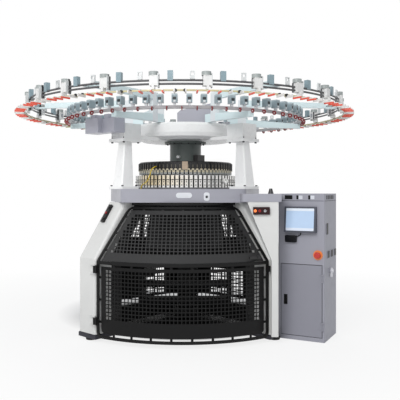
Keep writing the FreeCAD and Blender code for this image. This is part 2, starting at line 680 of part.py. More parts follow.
def make_outer_ring():
    """Pair of outer rails with the yarn heads clamped round them."""
    radius = size("outer_rail_radius")
    rails = []
    for height in (size("outer_rail_high"), size("outer_rail_low")):
        rails.append(Part.makeTorus(radius, size("outer_rail_bar"), Vector(0, 0, height), UP))
    low = size("head_under")
    top = low + size("head_height")
    half = size("head_width") / 2
    deep = size("head_depth") / 2
    block = box(-half, half, -radius - deep, -radius + deep, low, top)
    cup = Part.makeCylinder(36, 30, Vector(-4, -radius, top))
    bar = box(half, half + 8, -radius - 30, -radius + 20, low - 12, top + 14)
    ring_top = size("guide_ring_under") + size("guide_ring_thick")
    outer = size("guide_ring_radius")
    hanger = box(-10, 10, -outer - 4, -radius, ring_top, low + 2)
    sensor_half = 180 / size("outer_heads")
    sensor = box(-20, 20, -radius - 18, -radius + 18, size("outer_rail_high") - 5, top + 36)
    sensor.rotate(CENTRE, UP, sensor_half * 0.62)
    frame = box(-18, 18, -radius - 7, -radius + 7, size("outer_rail_high") - 3, top + 34)
    window = box(-11, 11, -radius - 9, -radius + 9, top + 2, top + 26)
    frame = frame.cut(window)
    frame.rotate(CENTRE, UP, -sensor_half * 0.55)
    head = block.multiFuse([cup, bar, hanger])
    count = int(size("outer_heads"))
    units = [round_axis(piece, 360 * (i + 0.5) / count) for i in range(count)
             for piece in (head, sensor, frame)]
    return shaped("outer_feeder_ring", rails[0].multiFuse(rails[1:] + units))


def make_guide_ring():
    """Guide ring with the radial yarn clips and pairs of round knobs."""
    radius = size("guide_ring_radius")
    half = size("guide_ring_width") / 2
    low = size("guide_ring_under")
    rail = ring(radius - half, radius + half, low, low + size("guide_ring_thick"))
    thick = size("clip_thick") / 2
    clip = box(-thick, thick, -size("clip_reach"), -size("clip_inner"), low - size("clip_height") + 2, low + 2)
    heads = int(size("outer_heads"))
    clips = heads * int(size("clips_per_head"))
    units = [round_axis(clip, 360 * (i + 0.5) / clips) for i in range(clips)]
    knob = Part.makeCylinder(11, 26, Vector(0, -radius - 20, low + 4), Vector(0, 1, 0))
    for i in range(heads):
        for side in (-1.25, 1.25):
            units.append(round_axis(knob, 360 * i / heads + side))
    return shaped("guide_ring", rail.multiFuse(units))


# ---------------------------------------------------------------- boxes on the crown
def make_drive_box():
    """Feeder drive box on the end of the left crown arm, with terminal blocks."""
    reach = size("lug_reach") + 25
    near = box(-75, 100, -reach - 90, -size("lug_reach"), 1766, 1890)
    far = box(-265, -75, -reach - 135, -reach, 1766, 1898)
    blocks = [box(-215, -150, -reach - 110, -reach - 40, 1898, 1932),
              box(-60, 5, -reach - 80, -reach - 20, 1890, 1930),
              box(-300, -265, -reach - 110, -reach - 60, 1776, 1826)]
    return shaped("feeder_drive_box", near.multiFuse([far] + blocks), turned(-size("column_azimuth")))


def make_control_box():
    """Electrical box on the crown, its top sloping up to the right."""
    top = size("crown_top")
    front = [Vector(-69, -340, top), Vector(235, -340, top), Vector(262, -340, top + 60),
             Vector(262, -340, top + 190), Vector(-40, -340, top + 122), Vector(-69, -340, top + 96)]
    return shaped("control_box", prism(front, Vector(0, 190, 0)))


PULLEY_SHAFT = 10


def pulley_spot(height):
    """Feeder drive pulley's axis through the crown."""
    return point_at(425, 62, height)


def make_feeder_pulley():
    """Toothed feeder drive pulley on its shaft through the crown."""
    top = size("crown_top") + 2
    disc = Part.makeCylinder(52, 20, pulley_spot(top))
    teeth = []
    for i in range(30):
        tooth = box(-2.5, 2.5, -55, -50, top, top + 20)
        tooth.rotate(CENTRE, UP, 12 * i)
        tooth.translate(pulley_spot(0))
        teeth.append(tooth)
    rim = Part.makeCylinder(58, 3, pulley_spot(top + 20))
    shaft = Part.makeCylinder(PULLEY_SHAFT, 130, pulley_spot(top - 125))
    return shaped("feeder_pulley", disc.multiFuse(teeth + [rim, shaft]))


# ---------------------------------------------------------------- knitting head
def make_dial_drum():
    """Drum that hangs from the crown and holds the dial's cam ring."""
    low = size("drum_low")
    top = size("crown_low")
    radius = size("drum_radius")
    bore = size("shaft_radius") + 6
    flange = size("drum_flange_radius")
    seat = top - size("drum_flange_thick")
    drum = turned_profile([(bore, low), (radius, low), (radius, seat), (flange, seat),
                           (flange, top), (bore, top)])
    knob = Part.makeCylinder(15, 34, point_at(radius + 30, -22.5, 1580), point_at(-1, -22.5))
    motor = box(-53, 53, -radius - 46, -radius + 22, 1540, 1600)
    motor = round_axis(motor, 51)
    bolts = []
    for i in range(16):
        bolts.append(Part.makeCylinder(8, 10, point_at(radius + 27, 22.5 * i + 11, seat - 9)))
    return shaped("dial_drum", drum.multiFuse([knob, motor] + bolts))


def make_dial_ring():
    """Dial cam ring: top plate, skirt, yarn fingers and the cap row below."""
    low = size("dial_ring_low")
    top = size("drum_low")
    plate = top - size("dial_ring_plate")
    outer = size("dial_ring_radius")
    inner = size("dial_radius") + 14
    bore = size("shaft_radius") + 6
    body = turned_profile([(bore, plate), (inner, plate), (inner, low), (outer, low),
                           (outer, top - 8), (outer - 8, top), (bore, top)])
    half = size("finger_width") / 2
    finger = box(-half, half, -outer - size("finger_depth"), -outer + 2, low - 4, top - 12)
    cap = box(-13, 13, -outer + 1, -outer + 16, low - 38, low + 1)
    unit = finger.fuse(cap)
    count = int(size("sections"))
    units = [round_axis(unit, 360 * (i + 0.5) / count) for i in range(count)]
    units.append(round_axis(box(-26, 26, -outer - 9, -outer + 2, low + 4, top - 4), 0.8))
    return shaped("dial_cam_ring", body.multiFuse(units))


def make_cam_ring():
    """Cylinder cam ring on the bed, slotted into one box for each section."""
    low = bed_top
    top = low + size("cam_height")
    body = ring(size("cam_inner"), size("cam_outer"), low, top)
    half = size("cam_slot_width") / 2
    outer = size("cam_outer")
    slot = box(-half, half, -outer - 5, -outer + size("cam_slot_depth"), low + 14, top + 1)
    count = int(size("sections"))
    slots = [round_axis(slot, 360 * i / count) for i in range(count)]
    groove = ring(outer - 6, outer + 5, top - 44, top - 39)
    lamp = Part.makeCylinder(25, 34, point_at(outer - 4, 48, low + 76), point_at(1, 48))
    body = body.cut(Part.makeCompound(slots)).cut(groove)
    return shaped("cylinder_cam_ring", body.fuse(lamp))


def make_cylinder():
    """Rotating needle cylinder with the flange that bolts to the main gear."""
    low = gear_top
    flange_low = size("bed_under") + 6
    bore = size("bed_bore") - size("running_gap")
    outer = size("cylinder_radius")
    points = [(size("cylinder_inner"), low), (bore - 20, low), (bore - 20, flange_low), (bore, flange_low),
              (bore, flange_low + 24), (outer, flange_low + 34), (outer, size("cylinder_top")),
              (size("cylinder_inner"), size("cylinder_top"))]
    return shaped("needle_cylinder", turned_profile(points))


def make_dial():
    """Rotating dial on its shaft, driven together with the cylinder."""
    low = size("dial_low")
    top = low + size("dial_thick")
    shaft = size("shaft_radius")
    points = [(0, low), (size("dial_radius") - 30, low), (size("dial_radius"), top - 8),
              (size("dial_radius"), top), (shaft + 60, top), (shaft + 40, top + 30), (shaft, top + 40),
              (shaft, size("crown_top") + 24), (0, size("crown_top") + 24)]
    return shaped("dial", turned_profile(points))


# ---------------------------------------------------------------- drive and take-down
def toothed_wheel(teeth, module, low, thick):
    """Outside of a spur wheel with straight-sided teeth and backlash."""
    pitch_radius = module * teeth / 2
    step = 2 * math.pi / teeth
    points = []
    for i in range(int(teeth)):
        middle = step * i
        for radius, share in ((pitch_radius - 1.1 * module, -0.30), (pitch_radius + 0.8 * module, -0.11),
                              (pitch_radius + 0.8 * module, 0.11), (pitch_radius - 1.1 * module, 0.30)):
            angle = middle + share * step
            points.append(Vector(radius * math.cos(angle), radius * math.sin(angle), low))
    return prism(points, Vector(0, 0, thick))


def make_main_gear():
    """Main gear under the bed that turns the cylinder and the take-down."""
    wheel = toothed_wheel(size("gear_teeth"), size("gear_module"), size("gear_under"), size("gear_thick"))
    bore = Part.makeCylinder(size("cylinder_inner"), 200, Vector(0, 0, size("gear_under") - 50))
    gear = wheel.cut(bore)
    gear.rotate(CENTRE, UP, size("motor_azimuth") - 90)
    return shaped("main_gear", gear)


def motor_spot(height):
    """Axis of the motor, at the gears' centre distance."""
    return point_at(gear_radius + pinion_radius, size("motor_azimuth"), height)


def make_pinion():
    """Motor pinion with its shaft down into the motor."""
    teeth = size("pinion_teeth")
    pinion = toothed_wheel(teeth, size("gear_module"), size("gear_under"), size("gear_thick"))
    pinion.rotate(CENTRE, UP, size("motor_azimuth") + 90 + 180 / teeth)
    shaft = Part.makeCylinder(18, 90, Vector(0, 0, size("gear_under") - 80))
    pinion = pinion.fuse(shaft)
    pinion.translate(motor_spot(0))
    return shaped("motor_pinion", pinion)


def make_motor():
    """Drive motor hung from the bed beside the take-down frame."""
    top = size("gear_under") - 12
    body = Part.makeCylinder(size("motor_radius"), size("motor_height"), Vector(0, 0, top - size("motor_height")))
    bore = Part.makeCylinder(18 + size("running_gap"), 80, Vector(0, 0, top - 75))
    body = body.cut(bore)
    plate = box(-40, 120, -95, 95, top - 14, top)
    plate = plate.cut(Part.makeCylinder(30, 40, Vector(0, 0, top - 30)))
    posts = [box(100, 120, -95, -60, top - 2, size("bed_under")), box(100, 120, 60, 95, top - 2, size("bed_under"))]
    motor = body.multiFuse([plate] + posts)
    motor.rotate(CENTRE, UP, size("motor_azimuth") - 90)
    motor.translate(motor_spot(0))
    return shaped("drive_motor", motor)


def make_takedown_frame():
    """Take-down frame under the main gear: side plates, cross beams, pivot."""
    middle = size("takedown_plate_x")
    thick = size("takedown_plate_thick")
    half = size("takedown_plate_half")
    low = size("takedown_low")
    top = size("gear_under")
    pieces = [ring(400, 470, top - 24, top)]
    holes = []
    reach = size("roller_radius") + size("roller_nip") / 2
    for side in (-1, 1):
        inner = side * (middle - thick / 2)
        outer = side * (middle + thick / 2)
        front = [Vector(inner, -half, low), Vector(inner, half, low), Vector(inner, half, 700),
                 Vector(inner, 80, 820), Vector(inner, 80, top - 10), Vector(inner, -80, top - 10),
                 Vector(inner, -80, 820), Vector(inner, -half, 700)]
        pieces.append(prism(front, Vector(outer - inner, 0, 0)))
        for across, height in ((-reach, size("roller_height")), (reach, size("roller_height")),
                               (0, size("winder_height"))):
            holes.append(rod(size("journal_radius") + size("running_gap"),
                             Vector(inner - side, across, height), Vector(inner + side * 22, across, height)))
    inside = middle - thick / 2 + 5
    pieces.append(box(-inside, inside, -60, 60, low, low + 50))
    pieces.append(box(-inside, inside, 100, 150, 640, 690))
    pieces.append(box(-inside, inside, -150, -110, 640, 690))
    pieces.append(box(-inside, -inside + 120, -120, 120, 420, 480))
    pieces.append(Part.makeCylinder(size("pivot_radius") + 25, 40, Vector(0, 0, low - 38)))
    pieces.append(Part.makeCylinder(size("pivot_radius"), 120, Vector(0, 0, base_top + 4)))
    frame = fuse_all(pieces).cut(Part.makeCompound(holes))
    return shaped("takedown_frame", frame)


def make_roller(label, radius, across, height):
    """Roller along X with its journals in the take-down side plates."""
    inner = size("takedown_plate_x") - size("takedown_plate_thick") / 2
    end = inner - size("seat_gap") - 2
    body = rod(radius, Vector(-end, across, height), Vector(end, across, height))
    tip = inner + 20
    journal = rod(size("journal_radius"), Vector(-tip, across, height), Vector(tip, across, height))
    return shaped(label, body.fuse(journal))


def make_rollers():
    """Two nip rollers and the cloth winding roller."""
    reach = size("roller_radius") + size("roller_nip") / 2
    make_roller("takedown_roller_front", size("roller_radius"), -reach, size("roller_height"))
    make_roller("takedown_roller_rear", size("roller_radius"), reach, size("roller_height"))
    make_roller("winding_roller", size("winder_radius"), 0, size("winder_height"))


# ---------------------------------------------------------------- gate and guards
def gate_shell(thick, recess, inset, low, high, side_extra=0):
    """Curved gate sheet between two heights, trimmed beside both legs."""
    reach = size("leg_reach") - recess
    slope = (size("leg_reach") - size("gate_top_radius")) / (size("gate_top") - size("gate_knee"))
    knee = size("gate_knee")

    def radius_at(height):
        return reach - max(0, height - knee) * slope

    points = [(radius_at(low) - thick, low), (radius_at(low), low)]
    if low < knee < high:
        points.append((reach, knee))
    points += [(radius_at(high), high), (radius_at(high) - thick, high)]
    if low < knee < high:
        points.append((reach - thick, knee))
    sheet_solid = turned_profile(points, -45, 45)
    edge = -(leg_half + size("gate_clearance") + inset)
    side = box(edge, 900, -1400, -200, low - 5, high + 5)
    right = round_axis(side, size("leg_azimuth"))
    return sheet_solid.cut([right, right.mirror(CENTRE, Vector(1, 0, 0))])


def corner_edges(solid, inset, height):
    """Edges of a gate sheet where its upright sides meet the level plane at a height."""
    turn = math.radians(size("leg_azimuth"))
    place = -(leg_half + size("gate_clearance") + inset)
    found = []
    for edge in solid.Edges:
        middle = edge.CenterOfMass
        across = abs(middle.x) * math.cos(turn) + middle.y * math.sin(turn)
        if abs(across - place) < 0.1 and abs(middle.z - height) < 0.01:
            found.append(edge)
    return found


def corner_tools(inset, height, radius):
    """Tools that round both upper corners of a gate sheet."""
    edge = -(leg_half + size("gate_clearance") + inset)
    middle = edge - radius
    level = height - radius
    outer = -size("leg_reach") - 200
    inner = -size("leg_reach") / 3
    block = box(middle, edge + 2, outer, inner, level, height + 2)
    core = Part.makeCylinder(radius, inner - outer + 2, Vector(middle, outer - 1, level), Vector(0, 1, 0))
    tool = round_axis(block.cut(core), size("leg_azimuth"))
    return [tool, tool.mirror(CENTRE, Vector(1, 0, 0))]


def gate_outline(thick, recess, inset, low, high, low_round=0, high_round=0):
    """Gate sheet with its rounded corners."""
    solid = gate_shell(thick, recess, inset, low, high)
    if low_round:
        solid = solid.makeFillet(low_round, corner_edges(solid, inset, low))
    if high_round:
        solid = solid.cut(corner_tools(inset, high, high_round))
    return solid


def make_gate_frame():
    """Gate frame bar round both sheets, with hinge barrels and lock block."""
    thick = size("gate_bar_thick")
    bar = size("gate_bar")
    low = size("gate_low")
    knee = size("gate_knee")
    top = size("gate_top")
    outer = size("gate_round")
    inner = outer - bar
    bent = gate_outline(thick, 0, 0, low, top, outer, outer)
    windows = [gate_outline(thick + 20, -10, bar, low + bar, knee - bar, inner),
               gate_outline(thick + 40, -20, bar, knee + 2, top - bar * 0.8, 0, inner)]
    pieces = [bent.cut(windows)]
    bores = []
    half = size("hinge_length") / 2
    for height in HINGE_HEIGHTS:
        centre = hinge_centre(height - half)
        pieces.append(Part.makeCylinder(size("hinge_barrel"), 2 * half, centre))
        bores.append(Part.makeCylinder(size("hinge_pin") + size("running_gap"), 2 * half + 2,
                                       centre - Vector(0, 0, 1)))
        leaf = box(leg_half + size("gate_clearance") + 1, leg_half + 34, -size("leg_reach") - 17,
                   -size("leg_reach") + 12, height - half, height + half)
        arm = box(leg_half + size("gate_clearance") / 2, leg_half + 30, -size("leg_reach") - 17,
                  -size("leg_reach") - 7, height - half, height + half)
        leaf = leaf.fuse(arm)
        pieces.append(round_axis(leaf, -size("leg_azimuth")))
    edge = leg_half + size("gate_clearance")
    reach = size("leg_reach")
    lock = box(-edge - 26, -edge - 6, -reach - 18, -reach + 12, 588, 636)
    pieces.append(round_axis(lock, size("leg_azimuth")))
    frame = fuse_all(pieces).cut(bores)
    return shaped("gate_frame", frame)


SHEET_INSET = 14


def slot_ring(low, high, count, span, reach):
    """Cutters for a row of slots along the top or bottom of a gate sheet."""
    step = 2 * span / count
    tab = math.degrees(10 / reach)
    return [ring(reach - 60, reach + 60, low, high, -span + step * i + tab, -span + step * (i + 1) - tab)
            for i in range(count)]


def side_slots(rows):
    """Cutters for the slots along both upright edges of a gate sheet."""
    edge = -(leg_half + size("gate_clearance") + size("gate_bar"))
    cutters = []
    for low, high in rows:
        slot = box(edge - size("gate_slot"), edge, -1400, -500, low, high)
        slot = round_axis(slot, size("leg_azimuth"))
        cutters += [slot, slot.mirror(CENTRE, Vector(1, 0, 0))]
    return cutters


def make_lower_mesh():
    """Perforated lower sheet of the gate, slotted all round beside the frame bar."""
    recess = size("gate_bar_thick")
    bar = size("gate_bar")
    slot = size("gate_slot")
    low = size("gate_low")
    knee = size("gate_knee")
    solid = gate_outline(size("mesh_thick"), recess, SHEET_INSET, low + SHEET_INSET, knee - 8, 15)
    reach = size("leg_reach") - recess
    cutters = slot_ring(low + bar, low + bar + slot, 8, 31.5, reach)
    cutters += slot_ring(knee - bar - slot, knee - bar, 8, 31.5, reach)
    cutters += side_slots(((105, 225), (245, 365), (385, 505), (525, 615)))
    pitch = math.degrees(size("mesh_pitch") / reach)
    half = size("mesh_hole") / 2
    hole = box(-half, half, -reach - 20, -reach + 30, 0, size("mesh_hole_rise"))
    columns = 24
    rows = 11
    start = (low + knee) / 2 + 12 - size("mesh_rise") * rows / 2
    for row in range(rows):
        lifted = hole.copy()
        lifted.translate(Vector(0, 0, start + size("mesh_rise") * row))
        for column in range(columns):
            cutters.append(round_axis(lifted, pitch * (column - (columns - 1) / 2)))
    return shaped("gate_mesh_lower", solid.cut(Part.makeCompound(cutters)))


def make_upper_mesh():
    """Perforated conical upper sheet of the gate, slotted at its sides and top."""
    recess = size("gate_bar_thick")
    bar = size("gate_bar")
    slot = size("gate_slot")
    knee = size("gate_knee")
    top = size("gate_top")
    solid = gate_outline(size("mesh_thick"), recess, SHEET_INSET, knee + 1, top - 8, 0, 36)
    slope = (size("leg_reach") - size("gate_top_radius")) / (top - knee)
    lean = math.degrees(math.atan(slope))
    cutters = slot_ring(top - bar * 0.8 - slot * 0.8, top - bar * 0.8, 7, 27, size("gate_top_radius"))
    cutters += side_slots(((705, 765), (782, 862), (879, 959), (976, 1030)))
    rise = size("mesh_rise") * math.cos(math.radians(lean))
    half = size("mesh_hole") / 2
    tall = size("mesh_hole_rise") / 2
    height = knee + 78
    while height < top - 85:
        reach = size("leg_reach") - recess - slope * (height - knee)
        limit = reach * math.radians(size("leg_azimuth")) - leg_half - size("gate_clearance") - bar - slot - 50
        hole = box(-half, half, -30, 30, -tall, tall)
        hole.rotate(CENTRE, Vector(1, 0, 0), -lean)
        hole.translate(Vector(0, -reach, height))
        column = 0.5
        while column * size("mesh_pitch") < limit:
            angle = math.degrees(column * size("mesh_pitch") / reach)
            cutters += [round_axis(hole, angle), round_axis(hole, -angle)]
            column += 1
        height += rise
    cutters.append(rod(LATCH_PIN + size("running_gap"), latch_point(1240), latch_point(1100)))
    return shaped("gate_mesh_upper", solid.cut(Part.makeCompound(cutters)))


LATCH_PIN = 6
LATCH_AZIMUTH = 31
LATCH_HEIGHT = 712


def latch_point(radius):
    """Point on the latch's pivot axis."""
    return point_at(radius, LATCH_AZIMUTH, LATCH_HEIGHT)


def make_gate_latch():
    """Latch lever of the gate on its pivot pin."""
    reach = size("leg_reach")
    lever = box(-92, 14, -reach - 14, -reach - 2, LATCH_HEIGHT - 11, LATCH_HEIGHT + 11)
    lever = round_axis(lever, LATCH_AZIMUTH)
    hub = rod(15, latch_point(reach + 18), latch_point(reach - 6))
    pin = rod(LATCH_PIN, latch_point(reach), latch_point(reach - 75))
    return shaped("gate_latch", lever.multiFuse([hub, pin]))


def holed_plate(corners, pitch, hole, thick):
    """Flat four-sided plate with a grid of square holes, swept along its normal."""
    origin = corners[0]
    across = (corners[1] - corners[0]).normalize()
    normal = across.cross(corners[3] - corners[0]).normalize()
    upward = normal.cross(across)
    inward = normal if normal.dot(Vector(origin.x, origin.y, 0)) < 0 else normal * -1
    wires = [Part.makePolygon(corners + corners[:1])]
    flat = [((corner - origin).dot(across), (corner - origin).dot(upward)) for corner in corners]
    height = flat[3][1]
    low = 60
    while low + hole < height - 50:
        share_low = low / height
        share_high = (low + hole) / height
        left = max(flat[3][0] * share_low, flat[3][0] * share_high) + 70
        right_low = flat[1][0] + (flat[2][0] - flat[1][0]) * share_low
        right_high = flat[1][0] + (flat[2][0] - flat[1][0]) * share_high
        right = min(right_low, right_high) - 70
        count = int((right - left + pitch - hole) // pitch)
        start = (left + right) / 2 - (count * pitch - (pitch - hole)) / 2
        for i in range(count):
            x = start + pitch * i
            square = [origin + across * u + upward * v
                      for u, v in ((x, low), (x + hole, low), (x + hole, low + hole), (x, low + hole))]
            wires.append(Part.makePolygon(square + square[:1]))
        low += pitch
    return Part.Face(wires, "Part::FaceMakerBullseye").extrude(inward * thick)


def make_guard(label, side):
    """Side guard between a front leg and the rear leg, bent at its middle."""
    first = size("leg_azimuth") + 6.2
    last = 180 - 6.2
    middle = (first + last) / 2
    low = base_top
    knee = size("knee_height")
    top = size("bed_under") - 12
    pieces = []
    for start, end in ((first, middle), (middle, last)):
        lower = [point_at(radius, side * azimuth, height) for radius, azimuth, height in
                 ((1050, start, low), (1050, end, low), (1050, end, knee), (1050, start, knee))]
        upper = [point_at(radius, side * azimuth, height) for radius, azimuth, height in
                 ((1050, start, knee), (1050, end, knee), (790, end, top), (790, start, top))]
        pieces += [holed_plate(lower, 96, 62, 3), holed_plate(upper, 96, 62, 3)]
    guard = fuse_all(pieces)
    cutters = []
    for azimuth in (side * size("leg_azimuth"), 180):
        casing = box(-leg_half - 0.3, leg_half + 0.3, -1300, -300, 0, size("bed_under") + 10)
        cutters.append(round_axis(casing, azimuth))
    return shaped(label, guard.cut(cutters))


# ---------------------------------------------------------------- side panel, duct, cabinet
def make_side_panel():
    """Sheet cover in front of the right leg, open at its back."""
    front = -panel_front
    left = panel_left
    right = panel_right
    top = size("duct_low")
    points = [Vector(left, front, base_top), Vector(right, front, base_top), Vector(right, front, top),
              Vector(left - 195, front, top), Vector(left - 195, front, top - 12),
              Vector(left, front, size("gate_knee") + 10)]
    outer = prism(points, Vector(0, 200, 0))
    wall = size("panel_sheet")
    behind = box(-leg_half + 1, 400, -size("leg_reach") - 1, 0, 0, 1300)
    beside_gate = box(0, left + wall + 0.5, -size("leg_reach") * 0.8 + 2, 0, 0, 1300)
    outer = outer.cut([round_axis(behind, size("leg_azimuth")), beside_gate])
    inner_wire = Part.makePolygon(points + points[:1]).makeOffset2D(-wall)
    inner = Part.Face(inner_wire).extrude(Vector(0, 200, 0))
    inner.translate(Vector(0, wall, 0))
    return shaped("side_panel", outer.cut(inner))


def make_cable_duct():
    """Cable duct from the bed to the cabinet over the side panel."""
    front = -panel_front - 5
    left = size("bed_front_half") - 48
    right = panel_right + 24
    low = size("duct_low")
    top = low + size("duct_height")
    duct = box(left, right, front, -780, low, top)
    corner = [edge for edge in duct.Edges if edge.BoundBox.ZLength > 10
              and edge.CenterOfMass.x < left + 1 and edge.CenterOfMass.y < front + 1]
    duct = duct.makeFillet(26, corner)
    stub = box(right - 20, right + 26, front + 155, front + 235, low + 10, top - 10)
    signal = Part.makeCone(24, 12, 44, Vector(panel_right - 50, front + 110, top))
    cabinet = box(0, size("cabinet_width"), 0, size("cabinet_depth"), 0, size("cabinet_height"))
    cabinet.Placement = cabinet_placement()
    duct = duct.multiFuse([stub, signal]).cut([doc.getObject("bed").Shape, cabinet])
    return shaped("cable_duct", duct)


def cabinet_placement():
    """Cabinet frame: X across its front, Y to its back, from its left front corner."""
    turn = Rotation(UP, -size("cabinet_yaw"))
    near = Vector(panel_right + size("cabinet_aside"), size("cabinet_behind") - panel_front, 0)
    return Placement(near - turn.multVec(Vector(size("cabinet_width"), 0, 0)), turn)


def cabinet_point(across, deep, height):
    """A point given in the cabinet's frame."""
    return cabinet_placement().multVec(Vector(across, deep, height))


def door_hinge_axis():
    """Cabinet door hinge: across and depth in the cabinet's frame."""
    return size("cabinet_width") - size("door_right"), -6


DOOR_HINGES = (130, 530)
DOOR_BARREL = 50


def make_cabinet():
    """Cabinet shell with its door opening, vent slots and side details."""
    width = size("cabinet_width")
    depth = size("cabinet_depth")
    height = size("cabinet_height")
    wall = size("cabinet_sheet")
    shell = box(0, width, 0, depth, 0, height)
    tall_edges = [edge for edge in shell.Edges if edge.BoundBox.ZLength > 100]
    shell = shell.makeFillet(8, tall_edges)
    hollow = box(wall, width - wall, wall, depth - wall, wall, height - wall)
    opening = box(size("door_left"), width - size("door_right"), -2, wall + 2,
                  size("door_low"), size("door_high"))
    cuts = [hollow, opening]
    for start, length in ((60, 62), (160, 26), (262, 26)):
        cuts.append(box(start, start + length, -2, wall + 2, height - 40, height - 18))
    for i in range(5):
        cuts.append(box(width - wall - 2, width + 2, 60 + 50 * i, 84 + 50 * i, height - 44, height - 16))
    shell = shell.cut(cuts)
    across, deep = door_hinge_axis()
    parts = []
    for middle in DOOR_HINGES:
        for low in (middle - DOOR_BARREL / 2 - 8.3, middle + DOOR_BARREL / 2 + 0.3):
            parts.append(box(across, across + 14, deep - 4, 2, low, low + 8))
            parts.append(Part.makeCylinder(5.5, 8, Vector(across, deep, low)))
        parts.append(Part.makeCylinder(3, DOOR_BARREL + 16, Vector(across, deep, middle - DOOR_BARREL / 2 - 8)))
    parts.append(box(width - 2, width + 4, 50, 98, 890, 985))
    for i in range(3):
        parts.append(box(width - 2, width + 5, 84 + 110 * i, 140 + 110 * i, 692, 750))
    parts.append(Part.makeCylinder(22, 12, Vector(width - 2, LEVER_DEEP, LEVER_HEIGHT), Vector(1, 0, 0)))
    shell = shell.multiFuse(parts)
    bore = Part.makeCylinder(LEVER_PIN + size("running_gap"), 60, Vector(width - 40, LEVER_DEEP, LEVER_HEIGHT),
                             Vector(1, 0, 0))
    stop_bore = Part.makeCylinder(STOP_STEM + size("running_gap"), 60, Vector(STOP_ACROSS, -30, STOP_HEIGHT),
                                  Vector(0, 1, 0))
    return shaped("cabinet_shell", shell.cut([bore, stop_bore]), cabinet_placement())


LEVER_DEEP = 165
LEVER_HEIGHT = 578
LEVER_PIN = 8
STOP_ACROSS = 345
STOP_HEIGHT = 722
STOP_STEM = 9


def make_cabinet_door():
    """Cabinet door with its recessed handle and hinge barrels."""
    width = size("cabinet_width")
    gap = size("door_gap")
    low = size("door_low") + gap
    high = size("door_high") - gap
    left = size("door_left") + gap
    right = width - size("door_right") - gap
    door = box(left, right, 0, size("door_thick"), low, high)
    cup = box(left + 24, left + 58, -1, 12, 292, 378)
    door = door.cut(cup)
    grip = box(left + 24, left + 58, 3, 8, 322, 370)
    across, deep = door_hinge_axis()
    parts = [grip]
    for middle in DOOR_HINGES:
        start = middle - DOOR_BARREL / 2
        parts.append(Part.makeCylinder(5.5, DOOR_BARREL, Vector(across, deep, start)))
        parts.append(box(across - 26, across, deep + 2, 1, start, start + DOOR_BARREL))
    door = door.multiFuse(parts)
    bores = [Part.makeCylinder(3 + size("running_gap"), DOOR_BARREL + 2,
                               Vector(across, deep, middle - DOOR_BARREL / 2 - 1)) for middle in DOOR_HINGES]
    return shaped("cabinet_door", door.cut(bores), cabinet_placement())


def make_screen():
    """Touch screen box on the cabinet front, leaning back a little."""
    front = [Vector(64, 0, 905), Vector(64, -46, 908), Vector(64, -22, 1122), Vector(64, 0, 1122)]
    body = prism(front, Vector(272, 0, 0))
    bezel = 0.111
    recess = box(64 + 18, 64 + 250, -60, -30, 938, 1100)
    recess.rotate(Vector(64, -46, 908), Vector(1, 0, 0), -math.degrees(bezel))
    recess.translate(Vector(0, -13.5, 0))
    return shaped("touch_screen", body.cut(recess), cabinet_placement())


def make_reader():
    """Card reader under the screen, with the lead that runs behind it."""
    body = box(66, 166, -24, 0, 822, 880)
    body = body.makeFillet(9, [edge for edge in body.Edges if edge.BoundBox.YLength > 20])
    lead = [rod(4, Vector(160, -12, 868), Vector(196, -9, 884)), rod(4, Vector(196, -9, 884), Vector(201.9, -9, 903.2)),
            Part.makeSphere(4, Vector(196, -9, 884))]
    return shaped("card_reader", body.multiFuse(lead), cabinet_placement())


def make_stop():
    """Emergency stop: fixed collar and sprung mushroom head."""
    collar = Part.makeCylinder(40, 5, Vector(STOP_ACROSS, 0, STOP_HEIGHT), Vector(0, -1, 0))
    sleeve = Part.makeCylinder(17, 14, Vector(STOP_ACROSS, 0, STOP_HEIGHT), Vector(0, -1, 0))
    bore = Part.makeCylinder(STOP_STEM + size("running_gap"), 40, Vector(STOP_ACROSS, 10, STOP_HEIGHT),
                             Vector(0, -1, 0))
    shaped("stop_collar", collar.fuse(sleeve).cut(bore), cabinet_placement())
    seat = 14 + size("stop_travel") + size("seat_gap")
    head = Part.makeCylinder(size("stop_radius"), 12, Vector(STOP_ACROSS, -seat, STOP_HEIGHT), Vector(0, -1, 0))
    head = head.makeFillet(5, [edge for edge in head.Edges if edge.CenterOfMass.y < -seat - 10])
    stem = Part.makeCylinder(STOP_STEM, seat + 20, Vector(STOP_ACROSS, 20, STOP_HEIGHT), Vector(0, -1, 0))
    shaped("emergency_stop", head.fuse(stem), cabinet_placement())


def make_isolator():
    """Isolator lever on the cabinet's right side."""
    face = size("cabinet_width") + 10 + size("seat_gap")
    lever = box(face, face + 12, LEVER_DEEP - 11, LEVER_DEEP + 11, LEVER_HEIGHT - 55, LEVER_HEIGHT + 26)
    lever = lever.makeFillet(5, [edge for edge in lever.Edges if edge.BoundBox.XLength > 10])
    hub = Part.makeCylinder(15, 20, Vector(face, LEVER_DEEP, LEVER_HEIGHT), Vector(1, 0, 0))
    pin = Part.makeCylinder(LEVER_PIN, 30, Vector(face - 28, LEVER_DEEP, LEVER_HEIGHT), Vector(1, 0, 0))
    return shaped("isolator_lever", lever.multiFuse([hub, pin]), cabinet_placement())


